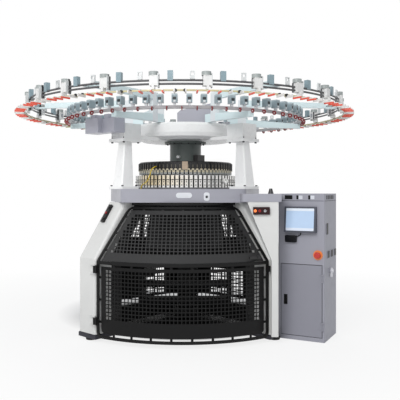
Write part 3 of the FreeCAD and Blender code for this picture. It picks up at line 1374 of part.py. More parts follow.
# ---------------------------------------------------------------- push buttons
def button_station(name, placement, length, spots, upright):
    """Box with three sprung push buttons, drawn on the plane Y = 0 facing -Y."""
    half = length / 2
    if upright:
        body = box(-21, 21, -20, 0, -half, half)
    else:
        body = box(-half, half, -20, 0, -31, 31)
    body = body.makeFillet(4, [edge for edge in body.Edges if edge.BoundBox.YLength > 15])
    bores = []
    clear = size("button_radius") + size("running_gap")
    for spot in spots:
        centre = Vector(0, -25, spot) if upright else Vector(spot, -25, 0)
        bores.append(Part.makeCylinder(clear, 20, centre, Vector(0, 1, 0)))
    shaped(f"button_box_{name}", body.cut(bores), placement)
    for count, spot in enumerate(spots, 1):
        centre = Vector(0, -20 - size("button_stand"), spot) if upright \
            else Vector(spot, -20 - size("button_stand"), 0)
        depth = size("button_stand") + 15 - size("button_travel") - size("seat_gap")
        button = Part.makeCylinder(size("button_radius"), depth, centre, Vector(0, 1, 0))
        button = button.makeChamfer(1.5, [edge for edge in button.Edges if edge.CenterOfMass.y < centre.y + 0.1])
        shaped(f"push_button_{name}_{count}", button, placement)


def make_buttons():
    """Button stations on the side panel and on the left leg's slope."""
    right = Placement(Vector(panel_right - 140, -panel_front, 1092), Rotation())
    button_station("right", right, 136, (-52, -16, 28), False)
    lean = math.degrees(math.atan2(size("leg_reach") - size("leg_top_reach"),
                                   size("bed_under") - size("knee_height")))
    height = 1050
    spot = Vector(-34, -leg_reach_at(height), height)
    tilt = Placement(spot, Rotation(Vector(1, 0, 0), -lean))
    left = Placement(CENTRE, Rotation(UP, -size("leg_azimuth"))).multiply(tilt)
    button_station("left", left, 176, (-56, 0, 56), True)


# ---------------------------------------------------------------- oil hose
def make_hose():
    """Oil hose from the dial cam ring down to the bed, straight runs and arcs."""
    start = size("dial_ring_radius") + 1.8
    route = [point_at(start, -35, 1480), point_at(start + 56, -36, 1466), Vector(-318, -425, 1385),
             Vector(-352, -405, 1330), Vector(-405, -358, 1306), Vector(-405, -358, bed_top)]
    edges = []
    last = route[0]
    length = 0
    for i in range(1, len(route) - 1):
        before = (route[i - 1] - route[i])
        after = (route[i + 1] - route[i])
        turn = math.pi - before.getAngle(after)
        radius = 0.45 * min(before.Length, after.Length) / math.tan(turn / 2)
        cut = radius * math.tan(turn / 2)
        start = route[i] + before.normalize() * cut
        end = route[i] + after.normalize() * cut
        bisector = (before + after).normalize()
        middle = route[i] + bisector * (radius / math.cos(turn / 2) - radius)
        edges.append(Part.LineSegment(last, start).toShape())
        edges.append(Part.Arc(start, middle, end).toShape())
        length += (start - last).Length + radius * turn
        last = end
        print(f"oil hose bend {i}: radius {radius:.1f}")
    edges.append(Part.LineSegment(last, route[-1]).toShape())
    length += (route[-1] - last).Length
    path = Part.Wire(edges)
    first = (route[1] - route[0]).normalize()
    profile = Part.Wire([Part.makeCircle(HOSE_RADIUS, route[0], first)])
    tube = path.makePipeShell([profile], True, False)
    print(f"oil hose length {length:.1f}, volume ratio {tube.Volume / (math.pi * HOSE_RADIUS ** 2 * length):.4f}")
    return shaped("oil_hose", tube)


HOSE_RADIUS = 5


make_rubber_feet()
make_base()
make_legs()
make_bed()
make_gate_stop()
make_columns()
make_crown()
make_frame_bolts()
make_feeder_arms()
make_inner_ring()
make_outer_ring()
make_guide_ring()
make_drive_box()
make_control_box()
make_feeder_pulley()
make_dial_drum()
make_dial_ring()
make_cam_ring()
make_cylinder()
make_dial()
make_main_gear()
make_pinion()
make_motor()
make_takedown_frame()
make_rollers()
make_gate_frame()
make_lower_mesh()
make_upper_mesh()
make_gate_latch()
make_guard("guard_left", -1)
make_guard("guard_right", 1)
make_side_panel()
make_cable_duct()
make_cabinet()
make_cabinet_door()
make_screen()
make_reader()
make_stop()
make_isolator()
make_buttons()
make_hose()
doc.recompute()

# ---------------------------------------------------------------- check and write
for item in doc.Objects:
    if "Invalid" in item.State or "Error" in item.State:
        raise RuntimeError(f"{item.Label} failed: {item.State}")
for piece in PARTS:
    if piece.Shape.isNull() or not piece.Shape.isValid():
        raise RuntimeError(f"{piece.Label} has no valid shape")

os.makedirs("parts", exist_ok=True)
for piece in PARTS:
    piece.Shape.exportStep(f"parts/{piece.Label}.step")
print(f"{len(PARTS)} sub-parts written")
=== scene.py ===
"""Looks of the circular knitting machine, laid over its packed frame.

Every piece is in metres in the frame's own axes.  Round parts are described by
a radius, an azimuth from the front (-Y) towards the right (+X) and a height.
"""
import math
from functools import partialmethod

import bmesh
import bpy
import numpy as np
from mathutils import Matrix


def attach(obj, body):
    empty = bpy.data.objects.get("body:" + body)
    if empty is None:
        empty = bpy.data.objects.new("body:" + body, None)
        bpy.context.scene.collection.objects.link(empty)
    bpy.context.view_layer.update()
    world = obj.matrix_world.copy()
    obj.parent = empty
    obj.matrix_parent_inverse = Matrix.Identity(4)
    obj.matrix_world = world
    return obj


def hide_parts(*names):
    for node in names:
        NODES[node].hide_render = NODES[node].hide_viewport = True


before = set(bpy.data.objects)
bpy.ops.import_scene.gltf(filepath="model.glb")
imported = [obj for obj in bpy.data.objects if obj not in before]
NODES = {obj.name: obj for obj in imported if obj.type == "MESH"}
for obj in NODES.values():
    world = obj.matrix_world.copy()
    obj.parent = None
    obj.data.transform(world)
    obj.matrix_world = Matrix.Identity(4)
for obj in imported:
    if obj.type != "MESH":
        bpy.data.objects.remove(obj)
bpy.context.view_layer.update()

bl_info = {
    "name": "Circular Knitting Machine",
    "version": (1, 0, 0),
    "blender": (4, 5, 0),
    "location": "View3D > Sidebar > Knitting Machine",
    "description": "Dresses the machine's frame with its sheets, needles, screen and finishes",
    "category": "Object",
}

UP = np.array([0.0, 0.0, 1.0])
MERGE = 2e-5    # points closer than this are one point


# ---------------------------------------------------------------- mesh helpers
def ring_point(radius, azimuth, height):
    """Points at a radius, an azimuth in radians and a height, as an array."""
    radius, azimuth, height = np.broadcast_arrays(radius, azimuth, height)
    return np.stack([radius * np.sin(azimuth), -radius * np.cos(azimuth), height], axis=-1)


def mesh_piece(name, points, quads, material, body, smooth=False, thick=0.0):
    """Outward-facing mesh from points and four-cornered faces, or a sheet if its thickness is given."""
    mesh = bpy.data.meshes.new(name)
    mesh.from_pydata(np.reshape(points, (-1, 3)), [], np.reshape(quads, (-1, 4)))
    work = bmesh.new()
    work.from_mesh(mesh)
    bmesh.ops.remove_doubles(work, verts=work.verts, dist=MERGE)
    bmesh.ops.dissolve_degenerate(work, edges=work.edges, dist=MERGE)
    loose = [vertex for vertex in work.verts if not vertex.link_faces]
    bmesh.ops.delete(work, geom=loose, context="VERTS")
    if not thick:
        bmesh.ops.recalc_face_normals(work, faces=work.faces)
    work.to_mesh(mesh)
    work.free()
    mesh.polygons.foreach_set("use_smooth", np.full(len(mesh.polygons), smooth))
    mesh.materials.append(material)
    piece = bpy.data.objects.new(name, mesh)
    bpy.context.scene.collection.objects.link(piece)
    if thick:
        shell = piece.modifiers.new("sheet thickness", "SOLIDIFY")
        shell.thickness = thick
        shell.offset = 0
    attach(piece, body)
    return piece


def grid_faces(rows, columns, keep):
    """Faces of a grid of cells whose points run row by row; keep marks the cells that stay."""
    row, column = np.meshgrid(np.arange(rows), np.arange(columns), indexing="ij")
    first = row * (columns + 1) + column
    return np.stack([first, first + 1, first + columns + 2, first + columns + 1], axis=-1)[keep]


def strip_faces(rows, around, closed=False):
    """Faces between rows of points, each closed on itself; closed also joins the last row to the first."""
    row, spot = np.meshgrid(np.arange(rows if closed else rows - 1), np.arange(around), indexing="ij")
    following, beside = (row + 1) % rows, (spot + 1) % around
    return np.stack([row * around + spot, row * around + beside,
                     following * around + beside, following * around + spot], axis=-1).reshape(-1, 4)


def swept(profile, path, side, upward):
    """Closed profile of (u, v) carried round a closed path: point = path + u * side + v * upward at each of
    its points."""
    points = path[:, None] + profile[:, 0:1] * side[:, None] + profile[:, 1:2] * upward[:, None]
    return points.reshape(-1, 3), strip_faces(len(path), len(profile), closed=True)


def repeated(points, faces, azimuths):
    """A shape drawn at the front repeated at every azimuth, in degrees: each copy is the shape turned
    about the vertical axis by its angle a, x' = x cos a - y sin a and y' = x sin a + y cos a."""
    angles = np.radians(azimuths)
    cosine, sine = np.cos(angles)[:, None], np.sin(angles)[:, None]
    x, y, z = np.asarray(points, float).T
    heights = np.broadcast_to(z, (len(angles), len(z)))
    copies = np.stack([cosine * x - sine * y, sine * x + cosine * y, heights], axis=-1)
    offsets = np.arange(len(angles)) * len(points)
    return copies.reshape(-1, 3), (faces[None] + offsets[:, None, None]).reshape(-1, faces.shape[1])


def lathe(profile, sides, start=(0, 0, 0), axis="z"):
    """Solid of revolution: each profile point (radius, along) becomes a circle of the given sides.

    point = start + radius * (cos a, sin a) across the axis + along * axis.  The ends close in a pole
    where the radius is zero.
    """
    profile = np.asarray(profile, float)
    angles = np.arange(sides) * 2 * np.pi / sides
    first = profile[:, 0:1] * np.cos(angles)
    second = profile[:, 0:1] * np.sin(angles)
    along = np.repeat(profile[:, 1:2], sides, axis=1)
    points = np.stack({"z": (first, second, along), "y": (second, along, first)}[axis], axis=-1) + start
    return points.reshape(-1, 3), strip_faces(len(profile), sides)


def rounded_plate(width, height, thick, corner, steps):
    """Rounded rectangular plate with a domed edge, standing in the plane Y = 0 and facing -Y.

    The outline is a rectangle with quarter-circle corners of the given steps; the face is that outline
    drawn in by the edge's width, and the middle is closed by a last ring of no size.
    """
    turns = (np.linspace(0, np.pi / 2, steps) + np.arange(4)[:, None] * np.pi / 2).ravel()
    signs = np.repeat(np.array([[1, 1], [-1, 1], [-1, -1], [1, -1]]), steps, axis=0)
    centres = signs * (width / 2 - corner, height / 2 - corner)
    spokes = np.stack([np.cos(turns), np.sin(turns)], axis=-1)
    edge = min(thick, corner) * 0.6
    outline = centres + corner * spokes
    face = centres + (corner - edge) * spokes
    levels = [(outline * 0, 0.0), (outline, 0.0), (outline, -thick + edge * 0.7),
              ((outline + face) / 2, -thick + edge * 0.2), (face, -thick), (face * 0, -thick)]
    points = np.concatenate([np.insert(flat, 1, depth, axis=1) for flat, depth in levels])
    return points, strip_faces(len(levels), len(outline))


def placed(points, right, out, centre):
    """Shape drawn in the plane Y = 0 facing -Y, set with its X along right and its face along out."""
    upward = np.cross(right, -out)
    return points[:, 0:1] * right - points[:, 1:2] * out + points[:, 2:3] * upward + centre


def joined(parts):
    """Several (points, faces) as one."""
    offsets = np.cumsum([0] + [len(points) for points, faces in parts[:-1]])
    return (np.concatenate([points for points, faces in parts]),
            np.concatenate([faces + offset for (points, faces), offset in zip(parts, offsets)]))


def plates(right, out, rows):
    """Rounded plates with their faces along out as one shape; each row is a plate's centre and its sizes."""
    parts = []
    for centre, *sizes in rows:
        points, faces = rounded_plate(*sizes)
        parts.append((placed(points, right, out, centre), faces))
    return joined(parts)


# ---------------------------------------------------------------- finishes
# clouding, clouds per metre, grains per metre, height of the grain in metres, spread of the roughness
GRAINS = {
    "enamel": (0.03, 2.5, 320.0, 0.00006, 0.05),
    "casting": (0.06, 3.0, 260.0, 0.0001, 0.05),
    "drum": (0.06, 5.0, 260.0, 0.00008, 0.06),
    "steel": (0.10, 9.0, 260.0, 0.00005, 0.10),
    "plastic": (0.04, 12.0, 700.0, 0.00008, 0.05),
    "rubber": (0.20, 22.0, 500.0, 0.0002, 0.08),
    "ring": (0.06, 20.0, 500.0, 0.0001, 0.06),
    "feeders": (0.05, 20.0, 500.0, 0.0001, 0.06),
    "button": (0.04, 20.0, 500.0, 0.00004, 0.05),
    "lit button": (0.05, 20.0, 500.0, 0.00004, 0.05),
    "dial ring": (0.12, 14.0, 400.0, 0.0001, 0.08),
    "cam boxes": (0.14, 16.0, 300.0, 0.00008, 0.08),
    "display": (0.03, 8.0, 300.0, 0.00001, 0.02),
    "floor": (0.01, 1.0, 60.0, 0.0001, 0.02),
}
ROUNDED = 0.002                # radius that an enamelled edge seems to have
NOISE_REACH = (0.3, 0.7)       # what nearly all of a noise lies between
WORN_TURN = (0.97, 0.8)        # cosines of an edge's turn where wear begins and where it is full
RUB_SCALE, RUB_REACH = 30, (0.4, 0.62)    # rubbed patches for each metre, and the noise that bounds them
FULL_WEAR = 0.7


def linear(colour):
    """Screen colour as the linear colour that a shader takes."""
    low = [part / 12.92 if part <= 0.04045 else ((part + 0.055) / 1.055) ** 2.4 for part in colour[:3]]
    return (*low, 1.0)


def feed(socket, value):
    """Links a value or another socket to a socket, or sets it to a plain number or colour."""
    value = getattr(value, "socket", value)
    if isinstance(value, bpy.types.NodeSocket):
        socket.id_data.links.new(value, socket)
    else:
        socket.default_value = value


def shader_node(nodes, kind, operation=None, **inputs):
    """New shader node whose named inputs are fed, an underscore standing for a space in a name."""
    node = nodes.new("ShaderNode" + kind)
    if operation:
        node.operation = operation
    for name, value in inputs.items():
        feed(node.inputs[name.replace("_", " ")], value)
    return node


class Value:
    """A number at every point of a surface.  Its sums, products and comparisons are shader nodes: a
    comparison is 1 where it holds and 0 elsewhere, * joins masks, | takes the larger value and & the
    smaller one."""

    def __init__(self, socket):
        self.socket = socket

    def worked(self, operation, other=0.0):
        node = shader_node(self.socket.id_data.nodes, "Math", operation, Value=self)
        feed(node.inputs[1], other)
        return Value(node.outputs[0])

    __add__ = partialmethod(worked, "ADD")
    __sub__ = partialmethod(worked, "SUBTRACT")
    __mul__ = partialmethod(worked, "MULTIPLY")
    __mod__ = partialmethod(worked, "MODULO")
    __gt__ = partialmethod(worked, "GREATER_THAN")
    __lt__ = partialmethod(worked, "LESS_THAN")
    __or__ = partialmethod(worked, "MAXIMUM")
    __and__ = partialmethod(worked, "MINIMUM")
    __abs__ = partialmethod(worked, "ABSOLUTE")

    def within(self, low, high):
        """1 where the value lies between low and high."""
        return (self > low) * (self < high)

    def scaled(self, low, high, to_low, to_high):
        """The value carried from the range low to high over to another range, and held at its ends."""
        node = shader_node(self.socket.id_data.nodes, "MapRange")
        for socket, part in zip(node.inputs, (self, low, high, to_low, to_high)):
            feed(socket, part)
        return Value(node.outputs[0])

    def offset(self, pitch, first):
        """Signed distance from the nearest of the places first + k * pitch."""
        past_zero = 40 * pitch
        return (self + (pitch / 2 - first + past_zero)) % pitch - pitch / 2


def distance(across, along):
    """Distance from two values at right angles to each other."""
    return (across * across + along * along).worked("SQRT")


class Finish:
    """One material's node tree, with short calls for its places, noises and mixes."""

    def __init__(self, name, rough=0.4, metal=0.0, coat=0.0, sheen=0.5):
        self.material = bpy.data.materials.new(name)
        self.material.use_nodes = True
        self.nodes = self.material.node_tree.nodes
        self.nodes.clear()
        self.shader = self.node("BsdfPrincipled", Roughness=rough, Metallic=metal, Coat_Weight=coat,
                                Coat_Roughness=0.12, Specular_IOR_Level=sheen)
        self.output = self.node("OutputMaterial", Surface=self.shader.outputs["BSDF"]).inputs["Surface"]
        self.rough = rough
        self.place = self.node("TexCoord").outputs["Object"]
        self.x, self.y, self.z = map(Value, self.node("SeparateXYZ", Vector=self.place).outputs)

    def node(self, kind, operation=None, **inputs):
        return shader_node(self.nodes, kind, operation, **inputs)

    def noise(self, scale, detail, stretch=(1, 1, 1)):
        mapping = self.node("Mapping", Vector=self.place, Scale=stretch)
        return Value(self.node("TexNoise", Vector=mapping.outputs[0], Scale=scale, Detail=detail).outputs[0])

    def mix(self, share, first, second, blend="MIX"):
        """Second colour laid over the first by its share."""
        node = self.node("Mix")
        node.data_type = "RGBA"
        node.blend_type = blend
        for place, value in ((0, share), (6, first), (7, second)):
            feed(node.inputs[place], value)
        return node.outputs[2]

    def layered(self, base, rules):
        """Base colour with each rule's colour laid over it where its mask is 1."""
        for mask, colour in rules:
            base = self.mix(mask, base, linear(colour))
        return base

    def painted(self, base, rules, grain, **look):
        """Surface in a base colour with the rules' colours laid over it."""
        return self.surface(self.layered(linear(base), rules), grain, **look)

    def glowing(self, colour, strength):
        feed(self.shader.inputs["Emission Color"], colour)
        self.shader.inputs["Emission Strength"].default_value = strength

    def polar(self):
        """Radius, azimuth in degrees and height of the point."""
        azimuth = self.x.worked("ARCTAN2", self.y * -1.0).worked("DEGREES")
        return distance(self.x, self.y), azimuth, self.z

    def surface(self, colour, grain, mottle=None, stretch=(1, 1, 1), rounded=0.0, wear=None):
        """Colour with soft clouding, uneven gloss, fine grain and, if asked, rounded and worn edges.

        grain names a row of GRAINS, mottle takes the place of its clouding and wear is the colour that
        shows at rubbed edges.
        """
        clouding, cloud, fineness, height, spread = GRAINS[grain]
        mottle = clouding if mottle is None else mottle
        clouds = self.noise(cloud, 4.0).scaled(*NOISE_REACH, 1 - mottle, 1 + mottle)
        tone = self.node("CombineColor", Red=clouds, Green=clouds, Blue=clouds)
        shade = self.mix(1.0, colour, tone.outputs[0], "MULTIPLY")
        fine = self.noise(fineness, 2.0, stretch)
        smooth, matt = self.rough - spread, self.rough + spread
        patches = self.noise(cloud * 7, 4.0, stretch).scaled(*NOISE_REACH, smooth, matt)
        gloss = patches + fine.scaled(*NOISE_REACH, -spread / 2, spread / 2)
        feed(self.shader.inputs["Roughness"], gloss)
        bump = self.node("Bump", Strength=0.5, Distance=height, Height=fine)
        if rounded:
            edge = self.node("Bevel", Radius=rounded)
            edge.samples = 4
            feed(bump.inputs["Normal"], edge.outputs[0])
            if wear:
                turn = self.node("VectorMath", "DOT_PRODUCT", Vector=edge.outputs[0])
                feed(turn.inputs[1], self.node("NewGeometry").outputs["Normal"])
                worn = Value(turn.outputs["Value"]).scaled(*WORN_TURN, 0.0, FULL_WEAR)
                rubbed = self.noise(RUB_SCALE, 4.0).scaled(*RUB_REACH, 0.0, 1.0)
                shade = self.mix(worn * rubbed, shade, wear)
        feed(self.shader.inputs["Normal"], bump.outputs[0])
        feed(self.shader.inputs["Base Color"], shade)
        return self.material


def enamel(name, colour, rough=0.38, mottle=0.03, coat=0.15, sheen=0.5):
    """Stoved enamel on metal: faint clouding, orange peel and slightly rubbed edges."""
    base = linear(colour)
    rubbed = tuple(part * 0.82 for part in base[:3]) + (1.0,)
    return Finish(name, rough, 0.0, coat, sheen).surface(base, "enamel", mottle, rounded=0.0025, wear=rubbed)


def steel(name, colour, rough):
    """Ground steel: bright metal with fine drawn lines."""
    return Finish(name, rough, 1.0).surface(linear(colour), "steel", stretch=(1, 1, 6))


def plastic(name, colour, rough, coat=0.0, sheen=0.5):
    """Moulded plastic with a fine spark-eroded grain."""
    return Finish(name, rough, 0.0, coat, sheen).surface(linear(colour), "plastic")


def rubber(name, colour):
    """Matt rubber with a dusty bloom."""
    return Finish(name, 0.78).surface(linear(colour), "rubber")


def assign(names, material):
    """Gives every material slot of the named frame nodes this finish."""
    for name in names:
        slots = NODES[name].material_slots
        if not slots:
            NODES[name].data.materials.append(material)
        for place in slots:
            place.material = material


# ---------------------------------------------------------------- settings
def colour_setting(name, description, value):
    return bpy.props.FloatVectorProperty(name=name, description=description, default=value,
                                         subtype="COLOR_GAMMA", size=3, min=0.0, max=1.0)


def length_setting(name, description, value):
    return bpy.props.FloatProperty(name=name, description=description, default=value,
                                   subtype="DISTANCE", unit="LENGTH", min=0.0)


class EnamelSettings(bpy.types.PropertyGroup):
    """Colours of the enamelled parts."""
    bed: colour_setting("Bed", "Bed plate and boxes on the crown", (0.630, 0.630, 0.668))
    box: colour_setting("Drive box", "Feeder drive box on the crown", (0.695, 0.695, 0.740))
    cabinet: colour_setting("Cabinet", "Cabinet shell", (0.610, 0.610, 0.648))
    door: colour_setting("Cabinet door", "Cabinet door", (0.545, 0.545, 0.585))
    legs: colour_setting("Legs", "Leg casings and side panel", (0.850, 0.850, 0.843))
    crown: colour_setting("Crown", "Crown", (0.925, 0.925, 0.922))
    # painted light: the columns get a brighter copy of the crown's white, making up for the light that the
    # rings keep off them
    columns: colour_setting("Columns", "Columns between the bed and the crown", (0.985, 0.985, 0.982))
    arms: colour_setting("Arms", "Feeder arms", (0.850, 0.915, 0.925))
    posts: colour_setting("Arm posts", "Upright posts of the feeder arms", (0.88, 0.90, 0.91))
    drum: colour_setting("Drum", "Dial drum", (0.335, 0.370, 0.358))
    gate: colour_setting("Gate", "Gate frame, lower sheet and side guards", (0.058, 0.058, 0.060))
    upper_sheet: colour_setting("Upper sheet", "Upper sheet of the gate", (0.190, 0.190, 0.192))
    base: colour_setting("Base", "Base casting", (0.165, 0.165, 0.200))
    hood: colour_setting("Hood", "Take-down hood behind the gate", (0.15, 0.15, 0.153))
    # this black is also the painted shade on the inner sides of the legs and of the base
    inside: colour_setting("Inside", "Take-down frame and motor inside the guards", (0.045, 0.045, 0.048))


class RingSettings(bpy.types.PropertyGroup):
    """Colours round the feeder rings and the knitting head."""
    rail: colour_setting("Rails", "Outer feeder rails", (0.33, 0.33, 0.34))
    inner_rail: colour_setting("Inner rail", "Inner feeder rail", (0.66, 0.65, 0.66))
    head: colour_setting("Yarn heads", "Yarn head blocks", (0.88, 0.88, 0.875))
    cup: colour_setting("Cups", "Ribbed yarn cups", (0.70, 0.72, 0.71))
    sensor: colour_setting("Sensors", "Stop motion sensors", (0.52, 0.60, 0.63))
    black: colour_setting("Black parts", "Bars, knobs and yarn fingers", (0.07, 0.07, 0.075))
    clip: colour_setting("Clips", "Yarn clips of the guide ring", (0.88, 0.35, 0.27))
    guide: colour_setting("Guide ring", "Guide ring's rail", (0.78, 0.74, 0.58))
    feeder: colour_setting("Feeders", "Yarn feeder boxes", (0.56, 0.62, 0.645))
    disc: colour_setting("Discs", "Tension discs", (0.50, 0.12, 0.13))
    skirt: colour_setting("Dial ring", "Dial cam ring between its fingers", (0.80, 0.76, 0.67))
    cap: colour_setting("Caps", "Caps under the yarn fingers", (0.72, 0.73, 0.72))
    cam: colour_setting("Cam boxes", "Cylinder cam boxes", (0.96, 0.955, 0.94))


class SheetSettings(bpy.types.PropertyGroup):
    """Perforation of the gate and of the side guards."""
    pitch: length_setting("Pitch", "Distance between two holes", 0.0317)
    hole: length_setting("Hole", "Side of a square hole", 0.0235)
    thick: length_setting("Thickness", "Thickness of the sheets", 0.003)
    bar: length_setting("Frame bar", "Width of the gate's frame bar", 0.025)
    slot: length_setting("Slot", "Slot between the frame bar and a sheet", 0.018)
    tab: length_setting("Tab", "Width of a tab across the slot", 0.020)
    tab_pitch: length_setting("Tab pitch", "Distance between two tabs", 0.165)


class HeadSettings(bpy.types.PropertyGroup):
    """Small parts of the knitting head."""
    needle_count: bpy.props.IntProperty(name="Needles", description="Needles shown round the cylinder",
                                        default=432, min=36)
    needle_width: length_setting("Needle", "Width of a needle", 0.0016)
    screw_radius: length_setting("Screw", "Radius of a cam box screw", 0.0052)


class StageSettings(bpy.types.PropertyGroup):
    """Camera, lamps and floor."""
    camera_x: length_setting("Camera X", "Camera's place to the right of the axis", 0.144)
    camera_back: length_setting("Camera distance", "Camera's distance in front of the axis", 5.80)
    camera_height: length_setting("Camera height", "Camera above the floor", 1.27)
    lens: bpy.props.FloatProperty(name="Lens", description="Focal length on a 36 mm wide sensor",
                                  default=52.56, min=10.0, unit="CAMERA")
    lamp: bpy.props.FloatProperty(name="Lamp power", description="Power of the main lamp",
                                  default=260.0, min=0.0, unit="POWER")


# ---------------------------------------------------------------- geometry of the gate
SECTION_PITCH = 5.0               # degrees from one knitting section to the next
TAB_LAP = 0.006                   # how far the gate's tabs reach under the frame bar
LOWER_MARGINS = (0.044, 0.117, 0.026)    # plain sheet at the sides, below and above the holes
UPPER_MARGINS = (0.030, 0.070, 0.030)
LOWER_CORNER = 0.035
UPPER_PITCH, UPPER_HOLE = 1.05, 1.04     # the upper sheet's grid against the lower one's
LEG_AZIMUTH = math.radians(42.4)
LEG_HALF = 0.112
GATE_GAP = 0.012
GATE_LOW = 0.040
GATE_KNEE = 0.675
GATE_TOP = 1.117
SHEET_FRONT = 1.190
TOP_FRONT = 0.840
SLOPE = (SHEET_FRONT - TOP_FRONT) / (GATE_TOP - GATE_KNEE)
STEEP = math.hypot(1, SLOPE)    # length up the slope for each metre of height
SHEET_MIDDLE = 0.0015           # the lower sheet's middle behind its front
LEAN_MIDDLE = 0.0019            # the same for the leaning upper sheet, measured level


def half_span(radius, inset):
    """Half of the gate's arc at a radius, from the front to a line parallel to the leg's side."""
    return radius * (LEG_AZIMUTH - np.arcsin((LEG_HALF + GATE_GAP + inset) / radius))


def hole_starts(low, high, pitch, hole, spare=0.0):
    """Low edges of a centred row of holes between two places; spare is added when they are counted."""
    count = int((high - low + spare) // pitch)
    return (low + high - count * pitch + pitch - hole) / 2 + pitch * np.arange(count)


def between(lines, starts, hole):
    """Which of the cells between the grid's lines lie in a hole."""
    middle = (lines[:-1, None] + lines[1:, None]) / 2
    return np.any((middle > starts) & (middle < starts + hole), axis=1)


WHOLE = (-math.inf, math.inf)


def holed_sheet(place, ends, left, right, row_low, column_left, hole, edge, fields=(WHOLE,), bend=()):
    """Sheet of square holes on a grid of u across and s upward: point = place(u, s).

    The grid's lines are the sheet's ends, the holes' edges and the lines of a rounded corner, bend.  The
    ends of each row are drawn in to the sheet's sides, which left and right give as u for an s.  Cells in
    the holes are left out where they are in a field of u and the edge's width inside both sides.
    """
    (u_low, u_high), (s_low, s_high) = ends
    s_lines = np.unique(np.round(np.concatenate([[s_low, s_high], row_low, row_low + hole, bend]), 6))
    u_lines = np.unique(np.round(np.concatenate([[u_low, u_high], column_left, column_left + hole]), 6))
    low_side, high_side = left(s_lines), right(s_lines)
    u = np.clip(u_lines[None, :], low_side[:, None], high_side[:, None])
    s = np.repeat(s_lines[:, None], len(u_lines), axis=1)
    middle = (u_lines[:-1] + u_lines[1:]) / 2
    in_field = np.any([(middle > first) & (middle < last) for first, last in fields], axis=0)
    in_hole = between(s_lines, row_low, hole)[:, None] & between(u_lines, column_left, hole) & in_field
    from_side = np.maximum(low_side[:-1], low_side[1:])[:, None] + edge
    to_side = np.minimum(high_side[:-1], high_side[1:])[:, None] - edge
    open_cell = in_hole & (u_lines[:-1] > from_side) & (u_lines[1:] < to_side)
    return place(u, s).reshape(-1, 3), grid_faces(len(s_lines) - 1, len(u_lines) - 1, ~open_cell)


def cut_sheet(place, span, low, high, pitch, hole, margins, corner=0.0):
    """Holed sheet from -span to span at every rise, rounded at its low corners by a quarter circle.

    margins are (side, low, high): how far the holes stay from the sheet's sides.
    """
    side, below, above = margins
    rows = hole_starts(low + below, high - above, pitch, hole, pitch - hole)
    widest = float(np.max(span(np.array([low, high]))))
    columns = hole_starts(-widest, widest, pitch, hole)
    bend = low + corner * (1 - np.cos(np.linspace(0.15, 1.5, 7))) if corner else ()

    def reach(s):
        rise = np.clip(s - low, 0, corner)
        return span(s) - corner + np.sqrt(np.maximum(corner ** 2 - (corner - rise) ** 2, 0))

    return holed_sheet(place, ((-widest, widest), (low, high)), lambda s: -reach(s), reach, rows, columns,
                       hole, side, bend=bend)


def tabs(place, corners):
    """Tabs across a slot as small faces; corners are the four (u, s), each for all tabs."""
    points = np.stack([place(*np.broadcast_arrays(u, s)) for u, s in corners], axis=1)
    return points.reshape(-1, 3), np.arange(len(points) * 4).reshape(-1, 4)


def side_tabs(place, inner, outer, spots, tab):
    """Tabs across the side slots, from the sheet's side to the line under the frame bar."""
    low, high = spots - tab / 2, spots + tab / 2
    return joined([tabs(place, [(sign * inner(low), low), (sign * outer(low), low),
                                (sign * outer(high), high), (sign * inner(high), high)]) for sign in (-1, 1)])


def level_tabs(place, low, high, spots, tab):
    """Tabs across the level slots, from one rise to another at every arc length in spots."""
    left, right = spots - tab / 2, spots + tab / 2
    return tabs(place, [(left, low), (right, low), (right, high), (left, high)])


def lower_place(u, s):
    """Point of the lower sheet: a cylinder, s being the height."""
    radius = SHEET_FRONT - SHEET_MIDDLE
    return ring_point(radius, u / radius, s)


def upper_radius(s):
    return SHEET_FRONT - LEAN_MIDDLE - SLOPE * s / STEEP


def upper_place(u, s):
    """Point of the upper sheet: a cone that leans in, s being the distance up the slope from the knee."""
    return ring_point(upper_radius(s), u / upper_radius(s), GATE_KNEE + s / STEEP)


# ---------------------------------------------------------------- places on the cabinet
CABINET_YAW = math.radians(27)
CABINET_CORNER = np.array([0.8136, -0.8084, 0.0])
CABINET_RIGHT = np.array([math.cos(CABINET_YAW), -math.sin(CABINET_YAW), 0.0])
CABINET_IN = np.array([math.sin(CABINET_YAW), math.cos(CABINET_YAW), 0.0])
CABINET_WIDE = 0.400
CABINET_DEEP = 0.390
CABINET_EDGE = 0.0075    # bevel of the cabinet's upright edges


def cabinet_place(across, inward, height):
    """Point across the cabinet's front from its left edge, inward from its front, and up."""
    return CABINET_CORNER + CABINET_RIGHT * across + CABINET_IN * inward + UP * height


def ribbon(corners, normal, low_u, high_u, low_v, high_v):
    """Closed strip round a flat outline of which every joint is mitred.

    Its section is a rectangle: u goes across in the outline's plane, along the forward direction x
    normal, and v along the normal.  At a joint of the sides a and b, u is stretched to
    2 (a + b) / |a + b| ** 2.
    """
    corners = np.asarray(corners, float)
    forward = np.roll(corners, -1, axis=0) - corners
    forward /= np.linalg.norm(forward, axis=1, keepdims=True)
    side = np.cross(forward, normal)
    side = side + np.roll(side, 1, axis=0)
    side *= 2 / np.sum(side * side, axis=1, keepdims=True)
    profile = np.array([(low_u, low_v), (high_u, low_v), (high_u, high_v), (low_u, high_v)])
    return swept(profile, corners, side, np.broadcast_to(normal, side.shape))


